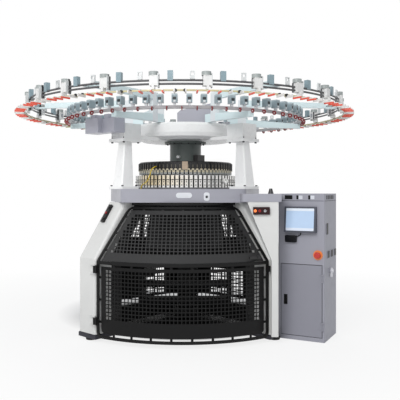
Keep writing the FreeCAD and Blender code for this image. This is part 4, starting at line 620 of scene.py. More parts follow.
# ---------------------------------------------------------------- operators
LAMPS = (("key lamp", (-1.9, -6.2, 4.9), (0, 0, 1.1), 4.2, 1.0),
         ("fill lamp", (4.4, -5.4, 4.6), (0.3, 0, 1.0), 4.5, 0.06),
         ("back lamp", (0.5, 5.5, 5.0), (0, 0, 1.2), 5.0, 0.45))    # place, aim, width, share of the power
SKY_TINT, SKY_STRENGTH = (0.96, 0.98, 1.0, 1), 0.56
WHITE = (1, 1, 1, 1)
# the floor's dark colour is painted shade under the machine, where the gate and guards keep the light out
FLOOR_PALE, FLOOR_PAINTED_SHADE = (0.86, 0.86, 0.86, 1), (0.012, 0.012, 0.012, 1)
FLOOR_REACH, FLOOR_LEVEL = 60.0, -0.0005
GATE_CENTRE, BACK_CENTRE = 0.10, 0.42               # how far behind the axis the two discs of shade are
FLANK_NORMAL, REAR_NORMAL = (0.9845, -0.1754), (0.6088, 0.7934)    # of the guards' facets, seen from above
GATE_FADE, FACET_FADE = (0.95, 1.01), (0.86, 1.02)  # distances over which the floor goes from dark to pale
NEAR_FADE, BACK_FADE, FAR_FADE = (0.95, 1.02), (1.05, 1.35), (1.8, 4.2)    # and over which it starts to shine
NEAR_GLOW, FAR_GLOW = 0.80, 0.20


class MACHINE_OT_stage(bpy.types.Operator):
    """Camera at the photograph's angle, soft lamps, pale floor and white surroundings"""
    bl_idname = "machine.stage"
    bl_label = "Stage"

    def execute(self, context):
        sizes = context.scene.machine_stage
        context.scene.view_settings.view_transform = "Standard"
        lens = bpy.data.cameras.new("camera")
        lens.lens = sizes.lens
        lens.sensor_width = 36
        lens.shift_y = -0.0275
        lens.clip_end = 200
        camera = bpy.data.objects.new("camera", lens)
        camera.location = (sizes.camera_x, -sizes.camera_back, sizes.camera_height)
        camera.rotation_euler = (math.pi / 2, 0, 0)
        context.scene.collection.objects.link(camera)
        context.scene.camera = camera
        for name, place, aim, width, share in LAMPS:
            self.lamp(context, name, place, aim, width, sizes.lamp * share)
        self.surroundings(context)
        self.floor(context)
        return {"FINISHED"}

    def lamp(self, context, name, place, aim, width, power):
        data = bpy.data.lights.new(name, "AREA")
        data.shape = "DISK"
        data.size = width
        data.energy = power
        lamp = bpy.data.objects.new(name, data)
        lamp.location = place
        toward = np.array(aim, float) - np.array(place, float)
        level = math.hypot(toward[0], toward[1])
        lamp.rotation_euler = (math.atan2(level, -toward[2]), 0, math.atan2(-toward[0], toward[1]))
        context.scene.collection.objects.link(lamp)

    def rays(self, nodes):
        """Masks of the rays that come from the camera, from a reflection and through a clear surface."""
        outputs = shader_node(nodes, "LightPath").outputs
        return [Value(outputs[f"Is {kind} Ray"]) for kind in ("Camera", "Glossy", "Transmission")]

    def blended(self, nodes, share, first, second, output):
        """Second shader laid over the first by its share and sent to the output."""
        mixed = shader_node(nodes, "MixShader", Fac=share)
        feed(mixed.inputs[1], first.outputs[0])
        feed(mixed.inputs[2], second.outputs[0])
        feed(output, mixed.outputs[0])

    def surroundings(self, context):
        """Plain white to the eye and in reflections, a softer sky as a light."""
        world = bpy.data.worlds.new("surroundings")
        world.use_nodes = True
        context.scene.world = world
        nodes = world.node_tree.nodes
        nodes.clear()
        direct, mirrored, through = self.rays(nodes)
        sky = shader_node(nodes, "Background", Color=SKY_TINT, Strength=SKY_STRENGTH)
        white = shader_node(nodes, "Background", Color=WHITE, Strength=1.0)
        output = shader_node(nodes, "OutputWorld").inputs["Surface"]
        self.blended(nodes, direct | mirrored | through, sky, white, output)

    def floor(self, context):
        """Pale floor, with painted shade where the gate and the four facets of the guards keep the light out.

        The painted shade covers the part of a disc under the gate that is also inside the facets: a point's
        distance along a facet's normal is |x| * normal x + y * normal y.
        further back the floor shines softly, and more so far away, so that it ends in white.
        """
        finish = Finish("studio_floor", 0.9, sheen=0.0)
        radius, _, _ = finish.polar()
        away = distance(finish.x, finish.y - GATE_CENTRE)
        flank, rear = [abs(finish.x) * x + finish.y * y for x, y in (FLANK_NORMAL, REAR_NORMAL)]
        # painted shade: where out is 0 the floor is coloured dark, standing for the shadow under the machine
        out = away.scaled(*GATE_FADE, 0.0, 1.0) | (flank | rear).scaled(*FACET_FADE, 0.0, 1.0)
        finish.surface(finish.mix(out, FLOOR_PAINTED_SHADE, FLOOR_PALE), "floor")
        hind = distance(finish.x, finish.y - BACK_CENTRE)
        near = away.scaled(*NEAR_FADE, 0.0, NEAR_GLOW) & hind.scaled(*BACK_FADE, 0.0, NEAR_GLOW)
        far = radius.scaled(*FAR_FADE, 0.0, FAR_GLOW)
        direct, mirrored, _ = self.rays(finish.nodes)
        share = (direct | mirrored) * (near + far)
        glow = finish.node("Emission", Color=WHITE, Strength=1.0)
        self.blended(finish.nodes, share, finish.shader, glow, finish.output)
        mesh = bpy.data.meshes.new("floor")
        mesh.from_pydata([(FLOOR_REACH * x, FLOOR_REACH * y, FLOOR_LEVEL)
                          for x, y in ((-1, -1), (1, -1), (1, 1), (-1, 1))], [], [(0, 1, 2, 3)])
        mesh.materials.append(finish.material)
        floor = bpy.data.objects.new("floor", mesh)
        context.scene.collection.objects.link(floor)


# the hose's route: two points of the dial cam ring's side (radius, azimuth, height), then plain points
HOSE_START = ((0.4598, -35, 1.480), (0.5158, -36, 1.466))
HOSE_REST = ((-0.318, -0.425, 1.385), (-0.352, -0.405, 1.330), (-0.405, -0.358, 1.306),
             (-0.405, -0.358, 1.270))


class MACHINE_OT_oil_hose(bpy.types.Operator):
    """Yellow oil hose from the dial cam ring down to the bed"""
    bl_idname = "machine.oil_hose"
    bl_label = "Oil hose"

    def execute(self, context):
        route = [ring_point(radius, math.radians(azimuth), height) for radius, azimuth, height in HOSE_START]
        route.extend(HOSE_REST)
        curve = bpy.data.curves.new("oil_hose_line", "CURVE")
        curve.dimensions = "3D"
        curve.bevel_depth = 0.005
        curve.bevel_resolution = 4
        curve.resolution_u = 12
        spline = curve.splines.new("NURBS")
        spline.points.add(len(route) - 1)
        for point, place in zip(spline.points, route):
            point.co = (*place, 1)
        spline.order_u = 3
        spline.use_endpoint_u = True
        curve.materials.append(plastic("hose_yellow", (0.86, 0.74, 0.16), 0.3, coat=0.4))
        hose = bpy.data.objects.new("oil_hose_line", curve)
        context.scene.collection.objects.link(hose)
        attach(hose, "machine")
        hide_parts("oil_hose")
        return {"FINISHED"}


class MACHINE_OT_enamels(bpy.types.Operator):
    """Enamel on the bed, legs, crown, columns, arms, cabinet, drum, gate frame and base"""
    bl_idname = "machine.enamels"
    bl_label = "Enamelled parts"

    def execute(self, context):
        tone = context.scene.machine_enamel
        assign(["bed_plate", "control_box"], enamel("bed_enamel", tone.bed))
        assign(["feeder_drive_box"], enamel("box_enamel", tone.box))
        assign(["cabinet_shell"], enamel("cabinet_enamel", tone.cabinet, 0.45, coat=0.0, sheen=0.25))
        assign(["cabinet_door"], enamel("door_enamel", tone.door))
        assign(["cable_duct"], self.duct(tone))
        assign(["leg_front_left", "leg_front_right", "leg_rear", "side_panel"], self.leg(tone))
        assign(["crown"], enamel("crown_enamel", tone.crown, 0.3))
        # painted light: the columns' white is brighter than the crown's to make up for the rings' shade on
        # them
        assign(["column_front_left", "column_front_right", "column_rear"],
               enamel("column_enamel_painted_light", tone.columns, 0.3))
        assign(["dial_drum"], self.drum(tone))
        assign([f"feeder_arm_{count}" for count in range(1, 7)], self.arm(tone))
        assign(["gate_frame", "gate_stop_rail"], enamel("gate_enamel", tone.gate, 0.5, 0.06, 0.0, 0.22))
        assign(["base_frame"], self.base(tone))
        assign(["takedown_frame", "drive_motor"], enamel("inside_enamel", tone.inside, 0.6, 0.10, 0.0, 0.2))
        return {"FINISHED"}

    def leg(self, tone):
        """White casings, with painted shade in black on the sides that are inside the gate and the guards:
        there the distance from the axis, with the lean above the knee added back, is small."""
        knee, slope, painted_shade_reach = 0.69, 0.5765, 1.03
        finish = Finish("leg_enamel", 0.42, 0.0, 0.15)
        radius, _, height = finish.polar()
        lean = (height - knee | 0.0) * slope
        # painted shade: the casings' sides inside the gate and the guards are coloured black
        inner = radius + lean < painted_shade_reach
        return finish.painted(tone.legs, [(inner, tone.inside)], "enamel", rounded=ROUNDED)

    def base(self, tone):
        """Grey foot plates, with painted shade in black on the arms and boss inside the guards."""
        painted_shade_reach = 0.93
        finish = Finish("base_enamel", 0.5, 0.0, 0.1, 0.3)
        radius, _, _ = finish.polar()
        # painted shade: the arms and boss inside the guards are coloured black
        return finish.painted(tone.base, [(radius < painted_shade_reach, tone.inside)], "casting", rounded=ROUNDED)

    def duct(self, tone):
        """Cable duct with a black gland standing on it."""
        duct_top = 1.2304
        finish = Finish("duct_enamel", 0.38, 0.0, 0.15)
        gland = finish.z > duct_top
        return finish.painted(tone.bed, [(gland, (0.09, 0.09, 0.10))], "enamel", rounded=ROUNDED)

    def arm(self, tone):
        """Pale blue arms whose upright posts are nearly white."""
        finish = Finish("arm_enamel", 0.36, 0.0, 0.15)
        radius, _, _ = finish.polar()
        post = radius.within(0.518, 0.602)
        return finish.painted(tone.arms, [(post, tone.posts)], "enamel", rounded=ROUNDED)

    def drum(self, tone):
        """Grey-green drum with black flange bolts, a white knob and a black motor."""
        wall, flange = 0.1545, 1.7129
        finish = Finish("drum_enamel", 0.42, 0.0, 0.1)
        radius, azimuth, height = finish.polar()
        bolts = (height < flange) * radius.within(0.1585, 0.21) * (height > 1.69)
        knob = azimuth.within(-32, -14) * (radius > wall) * height.within(1.56, 1.60)
        motor = azimuth.within(30, 72) * (radius > wall) * height.within(1.539, 1.601)
        return finish.painted(tone.drum, [(bolts, (0.05, 0.05, 0.05)), (knob, (0.9, 0.9, 0.9)),
                                          (motor, (0.07, 0.05, 0.05))], "drum", rounded=ROUNDED)


class MACHINE_OT_hardware(bpy.types.Operator):
    """Steel, plastic and rubber of the smaller frame parts"""
    bl_idname = "machine.hardware"
    bl_label = "Steel, plastic and rubber"

    def execute(self, context):
        black = context.scene.machine_ring.black
        assign(["needle_cylinder", "dial", "feeder_pulley"], steel("ground_steel", (0.76, 0.77, 0.79), 0.28))
        assign(["main_gear", "motor_pinion"], steel("oiled_steel", (0.26, 0.26, 0.27), 0.38))
        assign(["takedown_roller_front", "takedown_roller_rear", "winding_roller"],
               rubber("roller_rubber", (0.10, 0.10, 0.105)))
        assign(["frame_bolts"], steel("black_bolt", (0.14, 0.14, 0.15), 0.42))
        assign(["rubber_feet"], rubber("pad_rubber", (0.05, 0.05, 0.05)))
        assign(["touch_screen"], plastic("screen_case", (0.30, 0.31, 0.35), 0.45, sheen=0.3))
        assign(["card_reader"], plastic("reader_case", (0.022, 0.024, 0.045), 0.35, sheen=0.2))
        assign(["stop_collar"], plastic("stop_orange", (0.93, 0.52, 0.24), 0.35, coat=0.3))
        assign(["emergency_stop"], plastic("stop_red", (0.74, 0.13, 0.07), 0.3, coat=0.4))
        assign(["isolator_lever"], plastic("lever_pale", (0.86, 0.86, 0.88), 0.35, coat=0.2))
        assign(["button_box_right"], plastic("station_red", (0.15, 0.02, 0.03), 0.4, sheen=0.3))
        assign(["button_box_left"], plastic("station_black", (0.07, 0.07, 0.075), 0.4, sheen=0.3))
        assign(["push_button_right_2", "push_button_left_2"], plastic("button_red", (0.55, 0.06, 0.08), 0.3))
        assign(["push_button_left_1", "push_button_left_3"], plastic("button_black", (0.10, 0.10, 0.11), 0.3))
        assign(["push_button_right_3"], self.ringed_button())
        assign(["push_button_right_1"], self.lit_button())
        assign(["gate_latch"], plastic("latch_black", black, 0.35))
        return {"FINISHED"}

    def ringed_button(self):
        """Black push button with a pale ring on its face: a band of distances from the button's axis."""
        axis_x, axis_z = 0.673, 1.092
        finish = Finish("button_ringed", 0.3, 0.0, 0.3)
        band = distance(finish.x - axis_x, finish.z - axis_z).within(0.0055, 0.0102)
        return finish.painted((0.10, 0.09, 0.10), [(band, (0.82, 0.82, 0.83))], "button")

    def lit_button(self):
        """Lit orange push button: translucent plastic with a weak glow."""
        finish = Finish("button_lit", 0.3, 0.0, 0.4)
        colour = linear((0.98, 0.48, 0.22))
        finish.glowing(colour, 0.7)
        return finish.surface(colour, "lit button")


class MACHINE_OT_feeder_rings(bpy.types.Operator):
    """Finishes of the inner and outer feeder rings and of the guide ring, part by part"""
    bl_idname = "machine.feeder_rings"
    bl_label = "Feeder rings"

    def execute(self, context):
        ring = context.scene.machine_ring
        assign(["outer_feeder_ring"], self.outer(ring))
        assign(["inner_feeder_ring"], self.inner(ring))
        assign(["guide_ring"], self.guide(ring))
        return {"FINISHED"}

    def outer(self, ring):
        """Yarn heads: white block, grey cup, black bar; sensor and wire frame between two heads."""
        pitch, rail, rail_half, rail_top, block_top = 15.0, 1.5, 0.0085, 2.0808, 2.1065
        rib_pitch, rib = 7.0, 3.5    # millimetres
        finish = Finish("outer_ring_finish")
        radius, azimuth, height = finish.polar()
        step = azimuth.offset(pitch, pitch / 2)
        clear = (height > rail_top) | (abs(radius - rail) > rail_half)
        block = step.within(-1.155, 1.155) * height.within(2.0, block_top)
        face = step.within(-0.75, 0.75) * height.within(2.05, 2.09) * (radius < 1.4705)
        cup = step.within(-1.6, 1.4) * (height > block_top)
        # painted shade: darker bands a rib's width apart stand for the shade between the cup's ribs
        rib_shade = cup * (height * 1000.0 % rib_pitch > rib)
        side = step.within(1.15, 1.47) * clear
        bar = side * radius.within(1.484, 1.506)
        sensor = step.within(3.8, 5.5) * clear
        loop = step.within(-4.9, -3.3) * clear
        return finish.painted(ring.rail, [
            (block, ring.head), (face, (0.62, 0.63, 0.65)), (cup, ring.cup), (rib_shade, (0.52, 0.55, 0.55)),
            (side, (0.80, 0.81, 0.81)), (bar, ring.black), (sensor, ring.sensor),
            (loop, (0.83, 0.84, 0.84))], "ring")

    def inner(self, ring):
        """Yarn feeders: grey-blue box with a dark window, dark red tension disc with a pale hub."""
        pitch, rail, box_front, neck_low, box_low = 6.0, 1.12, 0.0285, 1.9402, 1.9622
        hub_radius, hub_height, hub_size = 1.156, 1.914, 0.0062
        finish = Finish("inner_ring_finish")
        radius, azimuth, height = finish.polar()
        step = azimuth.offset(pitch, pitch / 2)
        disc_step = azimuth.offset(pitch, pitch)
        box = height > box_low
        front = box * (abs(radius - rail) > box_front)
        window = front * step.within(-0.72, 0.72) * height.within(1.984, 2.006)
        lower = front * step.within(-0.45, 0.45) * height.within(1.967, 1.979)
        disc = disc_step.within(-0.6, 0.4) * (radius > 1.1365)
        hub = disc * (distance(radius - hub_radius, height - hub_height) < hub_size)
        return finish.painted(ring.inner_rail, [
            (height.within(neck_low, box_low), (0.85, 0.86, 0.87)), (box, ring.feeder),
            (height > 2.0205, (0.67, 0.72, 0.74)), (window, (0.16, 0.18, 0.19)), (lower, (0.88, 0.88, 0.88)),
            (disc, ring.disc), (hub, (0.82, 0.80, 0.80))], "feeders")

    def guide(self, ring):
        """Guide ring: straw-coloured rail, coral clips that are pale by a head and along their top, black
        knobs in pairs."""
        head_pitch, clip_pitch, clip_top, rail_out, knob_out = 15.0, 3.0, 1.98715, 1.5495, 1.5635
        finish = Finish("guide_ring_finish", 0.38)
        radius, azimuth, height = finish.polar()
        step = abs(azimuth.offset(head_pitch, 0.0))
        near = abs(azimuth.offset(clip_pitch, clip_pitch / 2))
        beside = (near > 0.2) | (height > clip_top)
        knob = step.within(0.82, 1.68) * radius.within(rail_out, knob_out) * (height > 1.9779) * beside
        clip = (height < clip_top) * (near < 0.21)
        pale = clip * ((step < 2.2) | (height > 1.9800))
        return finish.painted(ring.guide, [(clip, ring.clip), (pale, (0.86, 0.85, 0.84)), (knob, ring.black)],
                              "ring")


class MACHINE_OT_knitting_head(bpy.types.Operator):
    """Finishes of the dial cam ring and of the cylinder cam boxes"""
    bl_idname = "machine.knitting_head"
    bl_label = "Knitting head"

    def execute(self, context):
        ring = context.scene.machine_ring
        assign(["dial_cam_ring"], self.dial_ring(ring))
        assign(["cylinder_cam_ring"], self.cam_ring(ring))
        return {"FINISHED"}

    def dial_ring(self, ring):
        """Dial cam ring: dark top, black yarn fingers over a bright skirt, pale caps with a mark below."""
        skirt_low, bright_top, guard_low, top_low = 1.4462, 1.4715, 1.4580, 1.5145
        skirt_out, plate_out, cap_in = 0.4583, 0.448, 0.43
        finish = Finish("dial_ring_finish", 0.34)
        radius, azimuth, height = finish.polar()
        step = azimuth.offset(SECTION_PITCH, SECTION_PITCH / 2)
        outside = radius > 0.4575
        band = height > guard_low
        guard = band * step.within(-2.05, 2.05)
        upper = (height > 1.496) * outside
        top = height > top_low
        plate = top * (radius < plate_out)
        finger = outside * step.within(-1.15, 1.15) * (height > skirt_low)
        cap = (height < skirt_low) * (radius > cap_in)
        face = cap * step.within(-1.6, 1.6) * height.within(1.4240, 1.4450)
        mark = cap * step.within(-0.45, 0.45) * height.within(1.414, 1.422)
        wide = azimuth.within(-2.5, 4.1) * (radius > skirt_out) * (height > 1.4495)
        bare = height.within(skirt_low, bright_top) * (radius < skirt_out) * (finger < 0.5)
        feed(finish.shader.inputs["Metallic"], bare * 0.5)
        return finish.painted(ring.skirt, [
            (band, (0.37, 0.35, 0.30)), (guard, (0.06, 0.06, 0.06)), (upper, (0.045, 0.042, 0.040)),
            (top, ring.black), (plate, (0.30, 0.31, 0.32)), (finger, ring.black), (cap, ring.cap),
            (face, (0.80, 0.76, 0.65)), (mark, (0.30, 0.30, 0.30)), (wide, (0.74, 0.66, 0.57))], "dial ring")

    def cam_ring(self, ring):
        """Cam boxes: bright faces, warmer towards the left, with painted shade in a slit and a dark spot near
        their top, dark slots between them, and a grey sill and deck."""
        box_low, box_top, warm_low, sill_top = 1.2845, 1.3965, 1.303, 1.2842
        slot_in, slot_out, joint_out = 0.468, 0.4905, 0.4925
        warm_left, warm_right = -80, 12
        finish = Finish("cam_box_finish", 0.3, 0.35)
        radius, azimuth, height = finish.polar()
        step = azimuth.offset(SECTION_PITCH, 0.0)
        middle = azimuth.offset(SECTION_PITCH, SECTION_PITCH / 2)
        slot = step.within(-0.55, 0.55) * radius.within(slot_in, slot_out) * (height > box_low)
        joint = step.within(-0.86, 0.86) * height.within(box_low, 1.3950) * (radius < joint_out)
        # painted shade: the recessed groove across the boxes is coloured dark
        groove_shade = height.within(1.3525, 1.3585) * (radius < slot_out)
        spot = middle.within(-0.62, 0.62) * height.within(1.3485, 1.3600)
        warm = azimuth.within(warm_left, warm_right) * height.within(warm_low, box_top)
        warmth = azimuth.scaled(warm_right, -40.0, 0.0, 0.8) * azimuth.scaled(-66.0, -46.0, 0.0, 1.0)
        shade = finish.mix(warm * warmth, linear(ring.cam), linear((0.96, 0.87, 0.66)))
        return finish.surface(finish.layered(shade, [
            (spot, (0.22, 0.19, 0.16)), (height < sill_top, (0.42, 0.42, 0.43)),
            (height > box_top, (0.50, 0.50, 0.50)), (groove_shade, (0.20, 0.20, 0.20)), (joint, (0.11, 0.11, 0.11)),
            (slot, (0.06, 0.06, 0.06))]), "cam boxes", stretch=(1, 1, 4))


class MACHINE_OT_gate_sheets(bpy.types.Operator):
    """Perforated lower and upper sheets of the gate, slotted along the frame bar"""
    bl_idname = "machine.gate_sheets"
    bl_label = "Gate sheets"

    def execute(self, context):
        sheet = context.scene.machine_sheets
        tone = context.scene.machine_enamel
        inset = sheet.bar + sheet.slot
        under = sheet.bar - TAB_LAP
        self.lower(sheet, enamel("lower_sheet_enamel", tone.gate, 0.5, 0.06, 0.0, 0.2), inset, under)
        self.upper(sheet, enamel("upper_sheet_enamel", tone.upper_sheet, 0.48, 0.06, 0.0, 0.25), inset, under)
        return {"FINISHED"}

    def lower(self, sheet, material, inset, under):
        low = GATE_LOW + inset
        high = GATE_KNEE - inset
        radius = SHEET_FRONT - SHEET_MIDDLE
        inner = lambda s: np.full_like(s, half_span(radius, inset))
        outer = lambda s: np.full_like(s, half_span(radius, under))
        spots = self.spread(low, high, sheet.tab_pitch)
        reach = half_span(radius, inset) - 0.05
        across = self.spread(-reach, reach, sheet.tab_pitch)
        parts = [cut_sheet(lower_place, inner, low, high, sheet.pitch, sheet.hole, LOWER_MARGINS,
                           LOWER_CORNER),
                 side_tabs(lower_place, inner, outer, spots, sheet.tab),
                 level_tabs(lower_place, GATE_LOW + under, low, across, sheet.tab),
                 level_tabs(lower_place, high, GATE_KNEE - under, across, sheet.tab)]
        piece = mesh_piece("gate_lower_sheet", *joined(parts), material, "gate", thick=sheet.thick)
        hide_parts("gate_mesh_lower")

    def upper(self, sheet, material, inset, under):
        low, narrowing = 0.004, 0.93
        high = (GATE_TOP - GATE_KNEE) * STEEP - inset * narrowing
        inner = lambda s: half_span(upper_radius(s), inset)
        outer = lambda s: half_span(upper_radius(s), under)
        spots = self.spread(low, high, sheet.tab_pitch, 0.6)
        reach = inner(high) - 0.04
        across = self.spread(-reach, reach, sheet.tab_pitch)
        parts = [cut_sheet(upper_place, inner, low, high, sheet.pitch * UPPER_PITCH, sheet.hole * UPPER_HOLE,
                           UPPER_MARGINS),
                 side_tabs(upper_place, inner, outer, spots, sheet.tab),
                 level_tabs(upper_place, high, high + sheet.slot + TAB_LAP, across, sheet.tab)]
        piece = mesh_piece("gate_upper_sheet", *joined(parts), material, "gate", thick=sheet.thick)
        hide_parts("gate_mesh_upper")

    def spread(self, low, high, pitch, share=0.5):
        """Even places about a pitch apart from low to high, the first a share of their pitch from low."""
        count = max(round((high - low) / pitch), 1)
        return low + (high - low) * (np.arange(count) + share) / count


GUARD_FOOT, GUARD_KNEE, GUARD_TOP = (1.0485, 0.060), (1.0485, 0.690), (0.7885, 1.141)    # radius, height
GUARD_MARGIN = 0.030    # plain sheet along a guard's sides
LEG_CLEAR = 0.0006      # gap between a guard and a leg's casing
LEG_NEAR = 0.2          # a leg further away than this isn't looked at


class MACHINE_OT_guards(bpy.types.Operator):
    """Perforated side guards: two flat facets each side below the knee and two leaning ones above"""
    bl_idname = "machine.guards"
    bl_label = "Side guards"

    def execute(self, context):
        sheet = context.scene.machine_sheets
        material = enamel("guard_enamel", context.scene.machine_enamel.gate, 0.5, 0.06, 0.0, 0.2)
        for name, side in (("left", -1), ("right", 1)):
            parts = []
            for ends, low_rows, high_rows, fields in self.facets(side):
                parts.append(self.facet(sheet, side, ends, GUARD_FOOT, GUARD_KNEE, low_rows, fields))
                parts.append(self.facet(sheet, side, ends, GUARD_KNEE, GUARD_TOP, high_rows, (WHOLE,)))
            piece = mesh_piece(f"side_guard_{name}", *joined(parts), material, "machine", thick=sheet.thick)
            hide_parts(f"guard_{name}")
        return {"FINISHED"}

    def facets(self, side):
        """Azimuths of each facet's ends, the bands of holes up its lower and upper sheet, from their feet,
        and the fields of holes across its lower sheet, of which one is wider on the right."""
        return (((48.6, 111.2), (0.03, 0.60), (0.03, 0.49), (WHOLE,)),
                ((111.2, 173.8), (0.03, 0.31), (0.05, 0.37), ((0.07, 0.27), (0.495 - 0.055 * side, 0.90))))

    def facet(self, sheet, side, ends, foot, head, holed, fields):
        """Flat four-sided sheet of square holes: point = first corner + u * across + s * upward, each row's
        ends drawn in to the facet's own sides and to the leg casings.  holed is the band of s that has
        holes and fields are the bands of u, plain sheet being left round them."""
        start, end = [side * math.radians(azimuth) for azimuth in ends]
        origin, low_end, high_end, high_start = [
            ring_point(radius, azimuth, height)
            for (radius, height), azimuth in ((foot, start), (foot, end), (head, end), (head, start))]
        width = np.linalg.norm(low_end - origin)
        across = (low_end - origin) / width
        rise = high_start - origin
        upward = rise - across * np.dot(rise, across)
        height = np.linalg.norm(upward)
        upward = upward / height
        starts, stops = np.dot(rise, across), np.dot(high_end - origin, across)
        place = lambda u, s: origin + u[..., None] * across + s[..., None] * upward
        left = lambda s: self.clear_of_leg(place, across, s, starts * s / height, side)
        right = lambda s: self.clear_of_leg(place, across, s, width + (stops - width) * s / height, side)
        rows = hole_starts(holed[0], min(holed[1], height - GUARD_MARGIN), sheet.pitch, sheet.hole,
                           sheet.pitch - sheet.hole)
        columns = hole_starts(0, width, sheet.pitch, sheet.hole)
        return holed_sheet(place, ((0, width), (0, height)), left, right, rows, columns, sheet.hole,
                           GUARD_MARGIN, fields)

    def clear_of_leg(self, place, across, s, u, side):
        """Arc length u moved along the facet until it is outside the casings of the front and rear legs."""
        front = np.array([math.cos(LEG_AZIMUTH) * side, math.sin(LEG_AZIMUTH), 0.0])
        rear = np.array([float(side), 0.0, 0.0])
        for away in (front, rear):
            gap = place(u, s) @ away
            short = LEG_HALF + LEG_CLEAR - gap
            near = (np.abs(gap) < LEG_NEAR) & (short > 0)
            u = np.where(near, u + short / np.dot(across, away), u)
        return u


class MACHINE_OT_hood(bpy.types.Operator):
    """Dark hood of the take-down, hung under the main gear round the falling fabric"""
    bl_idname = "machine.hood"
    bl_label = "Take-down hood"

    def execute(self, context):
        """Thin cone turned about the axis, with three flat bands that stand out of it by their bulge."""
        low, high, low_radius, high_radius, wall = 0.712, 1.0842, 0.4060, 0.3350, 0.003
        rise = np.array([low, 0.709, low, 0.722, 0.732, 0.890, 0.895, 0.903, 0.908, 1.066, 1.076, high])
        bulge = np.array([0.0, 0.0015, 0.003, 0.003, 0.0, 0.0, 0.0025, 0.0025, 0.0, 0.0, 0.003, 0.003])
        outside = np.stack([np.interp(rise, (low, high), (low_radius, high_radius)) + bulge, rise], axis=-1)
        inside = [(high_radius - wall, high), (low_radius - wall, low), (low_radius, low)]
        material = enamel("hood_enamel", context.scene.machine_enamel.hood, 0.55, 0.08, 0.0, 0.25)
        piece = mesh_piece("takedown_hood", *lathe(np.concatenate([outside, inside]), 144), material,
                           "cylinder_group", smooth=True)
        piece.data.set_sharp_from_angle(angle=math.radians(50))
        return {"FINISHED"}


class MACHINE_OT_needles(bpy.types.Operator):
    """Row of needles round the cylinder's rim and the screws of the cam boxes"""
    bl_idname = "machine.needles"
    bl_label = "Needles and screws"

    def execute(self, context):
        sizes = context.scene.machine_head
        self.needles(sizes)
        self.screws(sizes)
        return {"FINISHED"}

    def needles(self, sizes):
        """Each needle is a thin four-sided blade from the cylinder's rim up, bent in at its hook."""
        half, deep = sizes.needle_width / 2, 0.0006
        across, along = np.array([(-1, -1), (1, -1), (1, 1), (-1, 1)]).T
        foot, neck, hook = (0.3866, 1.396, 1.0), (0.3866, 1.4045, 1.0), (0.3856, 1.4068, 0.7)
        radius, height, wide = np.array([foot, neck, hook]).T[:, :, None]
        points = np.stack(np.broadcast_arrays(across * half * wide, along * deep - radius, height), axis=-1)
        faces = np.concatenate([strip_faces(3, 4), [(3, 2, 1, 0), (8, 9, 10, 11)]])
        azimuths = 360.0 * np.arange(sizes.needle_count) / sizes.needle_count
        piece = mesh_piece("needle_row", *repeated(points.reshape(-1, 3), faces, azimuths),
                           steel("needle_steel", (0.85, 0.86, 0.88), 0.2), "cylinder_group")

    def screws(self, sizes):
        """Each screw is a short turned head with a sunk socket on the face of its cam box.  At the gap in
        the boxes there are none."""
        radius, face, gap, half_gap = sizes.screw_radius, 0.492, 48, 3.6
        profile = [(0.0, 0.0015), (radius, 0.0015), (radius, -0.0022), (radius * 0.85, -0.003),
                   (radius * 0.5, -0.003), (radius * 0.5, -0.001), (0.0, -0.001)]
        pair = joined([lathe(profile, 10, (0, -face, height), "y") for height in (1.306, 1.336)])
        azimuths = SECTION_PITCH * (np.arange(72) + 0.5)
        azimuths = azimuths[np.abs(azimuths - gap) > half_gap]
        piece = mesh_piece("cam_box_screws", *repeated(*pair, azimuths),
                           steel("black_screw", (0.10, 0.09, 0.09), 0.4), "machine")


class MACHINE_OT_screen(bpy.types.Operator):
    """Lit glass of the touch screen, with bare bands at its top and bottom"""
    bl_idname = "machine.screen"
    bl_label = "Screen glass"

    def execute(self, context):
        low, high, low_front, high_front = 0.908, 1.122, 0.046, 0.022    # of the leaning face of the case
        lean = math.atan2(low_front - high_front, high - low)
        out = -CABINET_IN * math.cos(lean) + UP * math.sin(lean)
        middle = cabinet_place(CABINET_WIDE / 2, -0.5 * (low_front + high_front), 0.5 * (low + high))
        centre = middle - out * 0.0002
        shape = plates(CABINET_RIGHT, out, [(centre, 0.240, 0.187, 0.0020, 0.005, 5)])
        piece = mesh_piece("screen_glass", *shape, self.glass(centre[2]), "machine")
        return {"FINISHED"}

    def glass(self, middle):
        """Pale blue display with a nearly white band above and below, and a glossy coat."""
        finish = Finish("display_glass", 0.12, 0.0, 0.8)
        shade = finish.layered(linear((0.70, 0.79, 0.90)), [
            (finish.z > middle + 0.072, (0.86, 0.89, 0.93)), (finish.z < middle - 0.070, (0.84, 0.87, 0.92))])
        finish.glowing(shade, 0.10)
        return finish.surface(shade, "display")


class MACHINE_OT_plates(bpy.types.Operator):
    """Bare plates on the bed's front edge"""
    bl_idname = "machine.plates"
    bl_label = "Bare plates"

    def execute(self, context):
        right, out, front = np.array([1.0, 0.0, 0.0]), np.array([0.0, -1.0, 0.0]), -0.8055
        pale = plastic("plate_pale", (0.87, 0.88, 0.90), 0.35, coat=0.2)
        badge = plates(right, out, [((0.007, front, 1.215), 0.137, 0.046, 0.004, 0.0225, 10)])
        mesh_piece("bed_plate_badge", *badge, pale, "machine")
        small = plates(right, out, [((0.2015, front, 1.2045), 0.050, 0.072, 0.005, 0.018, 8)])
        mesh_piece("bed_lubricator_plate", *small, pale, "machine")
        profile = [(0.0, 0.0), (0.0105, 0.0), (0.0115, -0.002), (0.0100, -0.0045), (0.0070, -0.0045),
                   (0.0060, -0.0025), (0.0, -0.0025)]
        glass = lathe(profile, 24, (0.2015, front - 0.0049, 1.203), "y")
        sight = plastic("sight_glass_dark", (0.24, 0.25, 0.27), 0.2, coat=0.5)
        mesh_piece("bed_sight_glass", *glass, sight, "machine")
        return {"FINISHED"}


DOOR = (0.0235, 0.3805, 0.0365, 0.6385)    # the door's left, right, low and high edges on the cabinet's front
BAND_MIDDLE = 1.2000                       # height of the sockets in the cabinet's top band


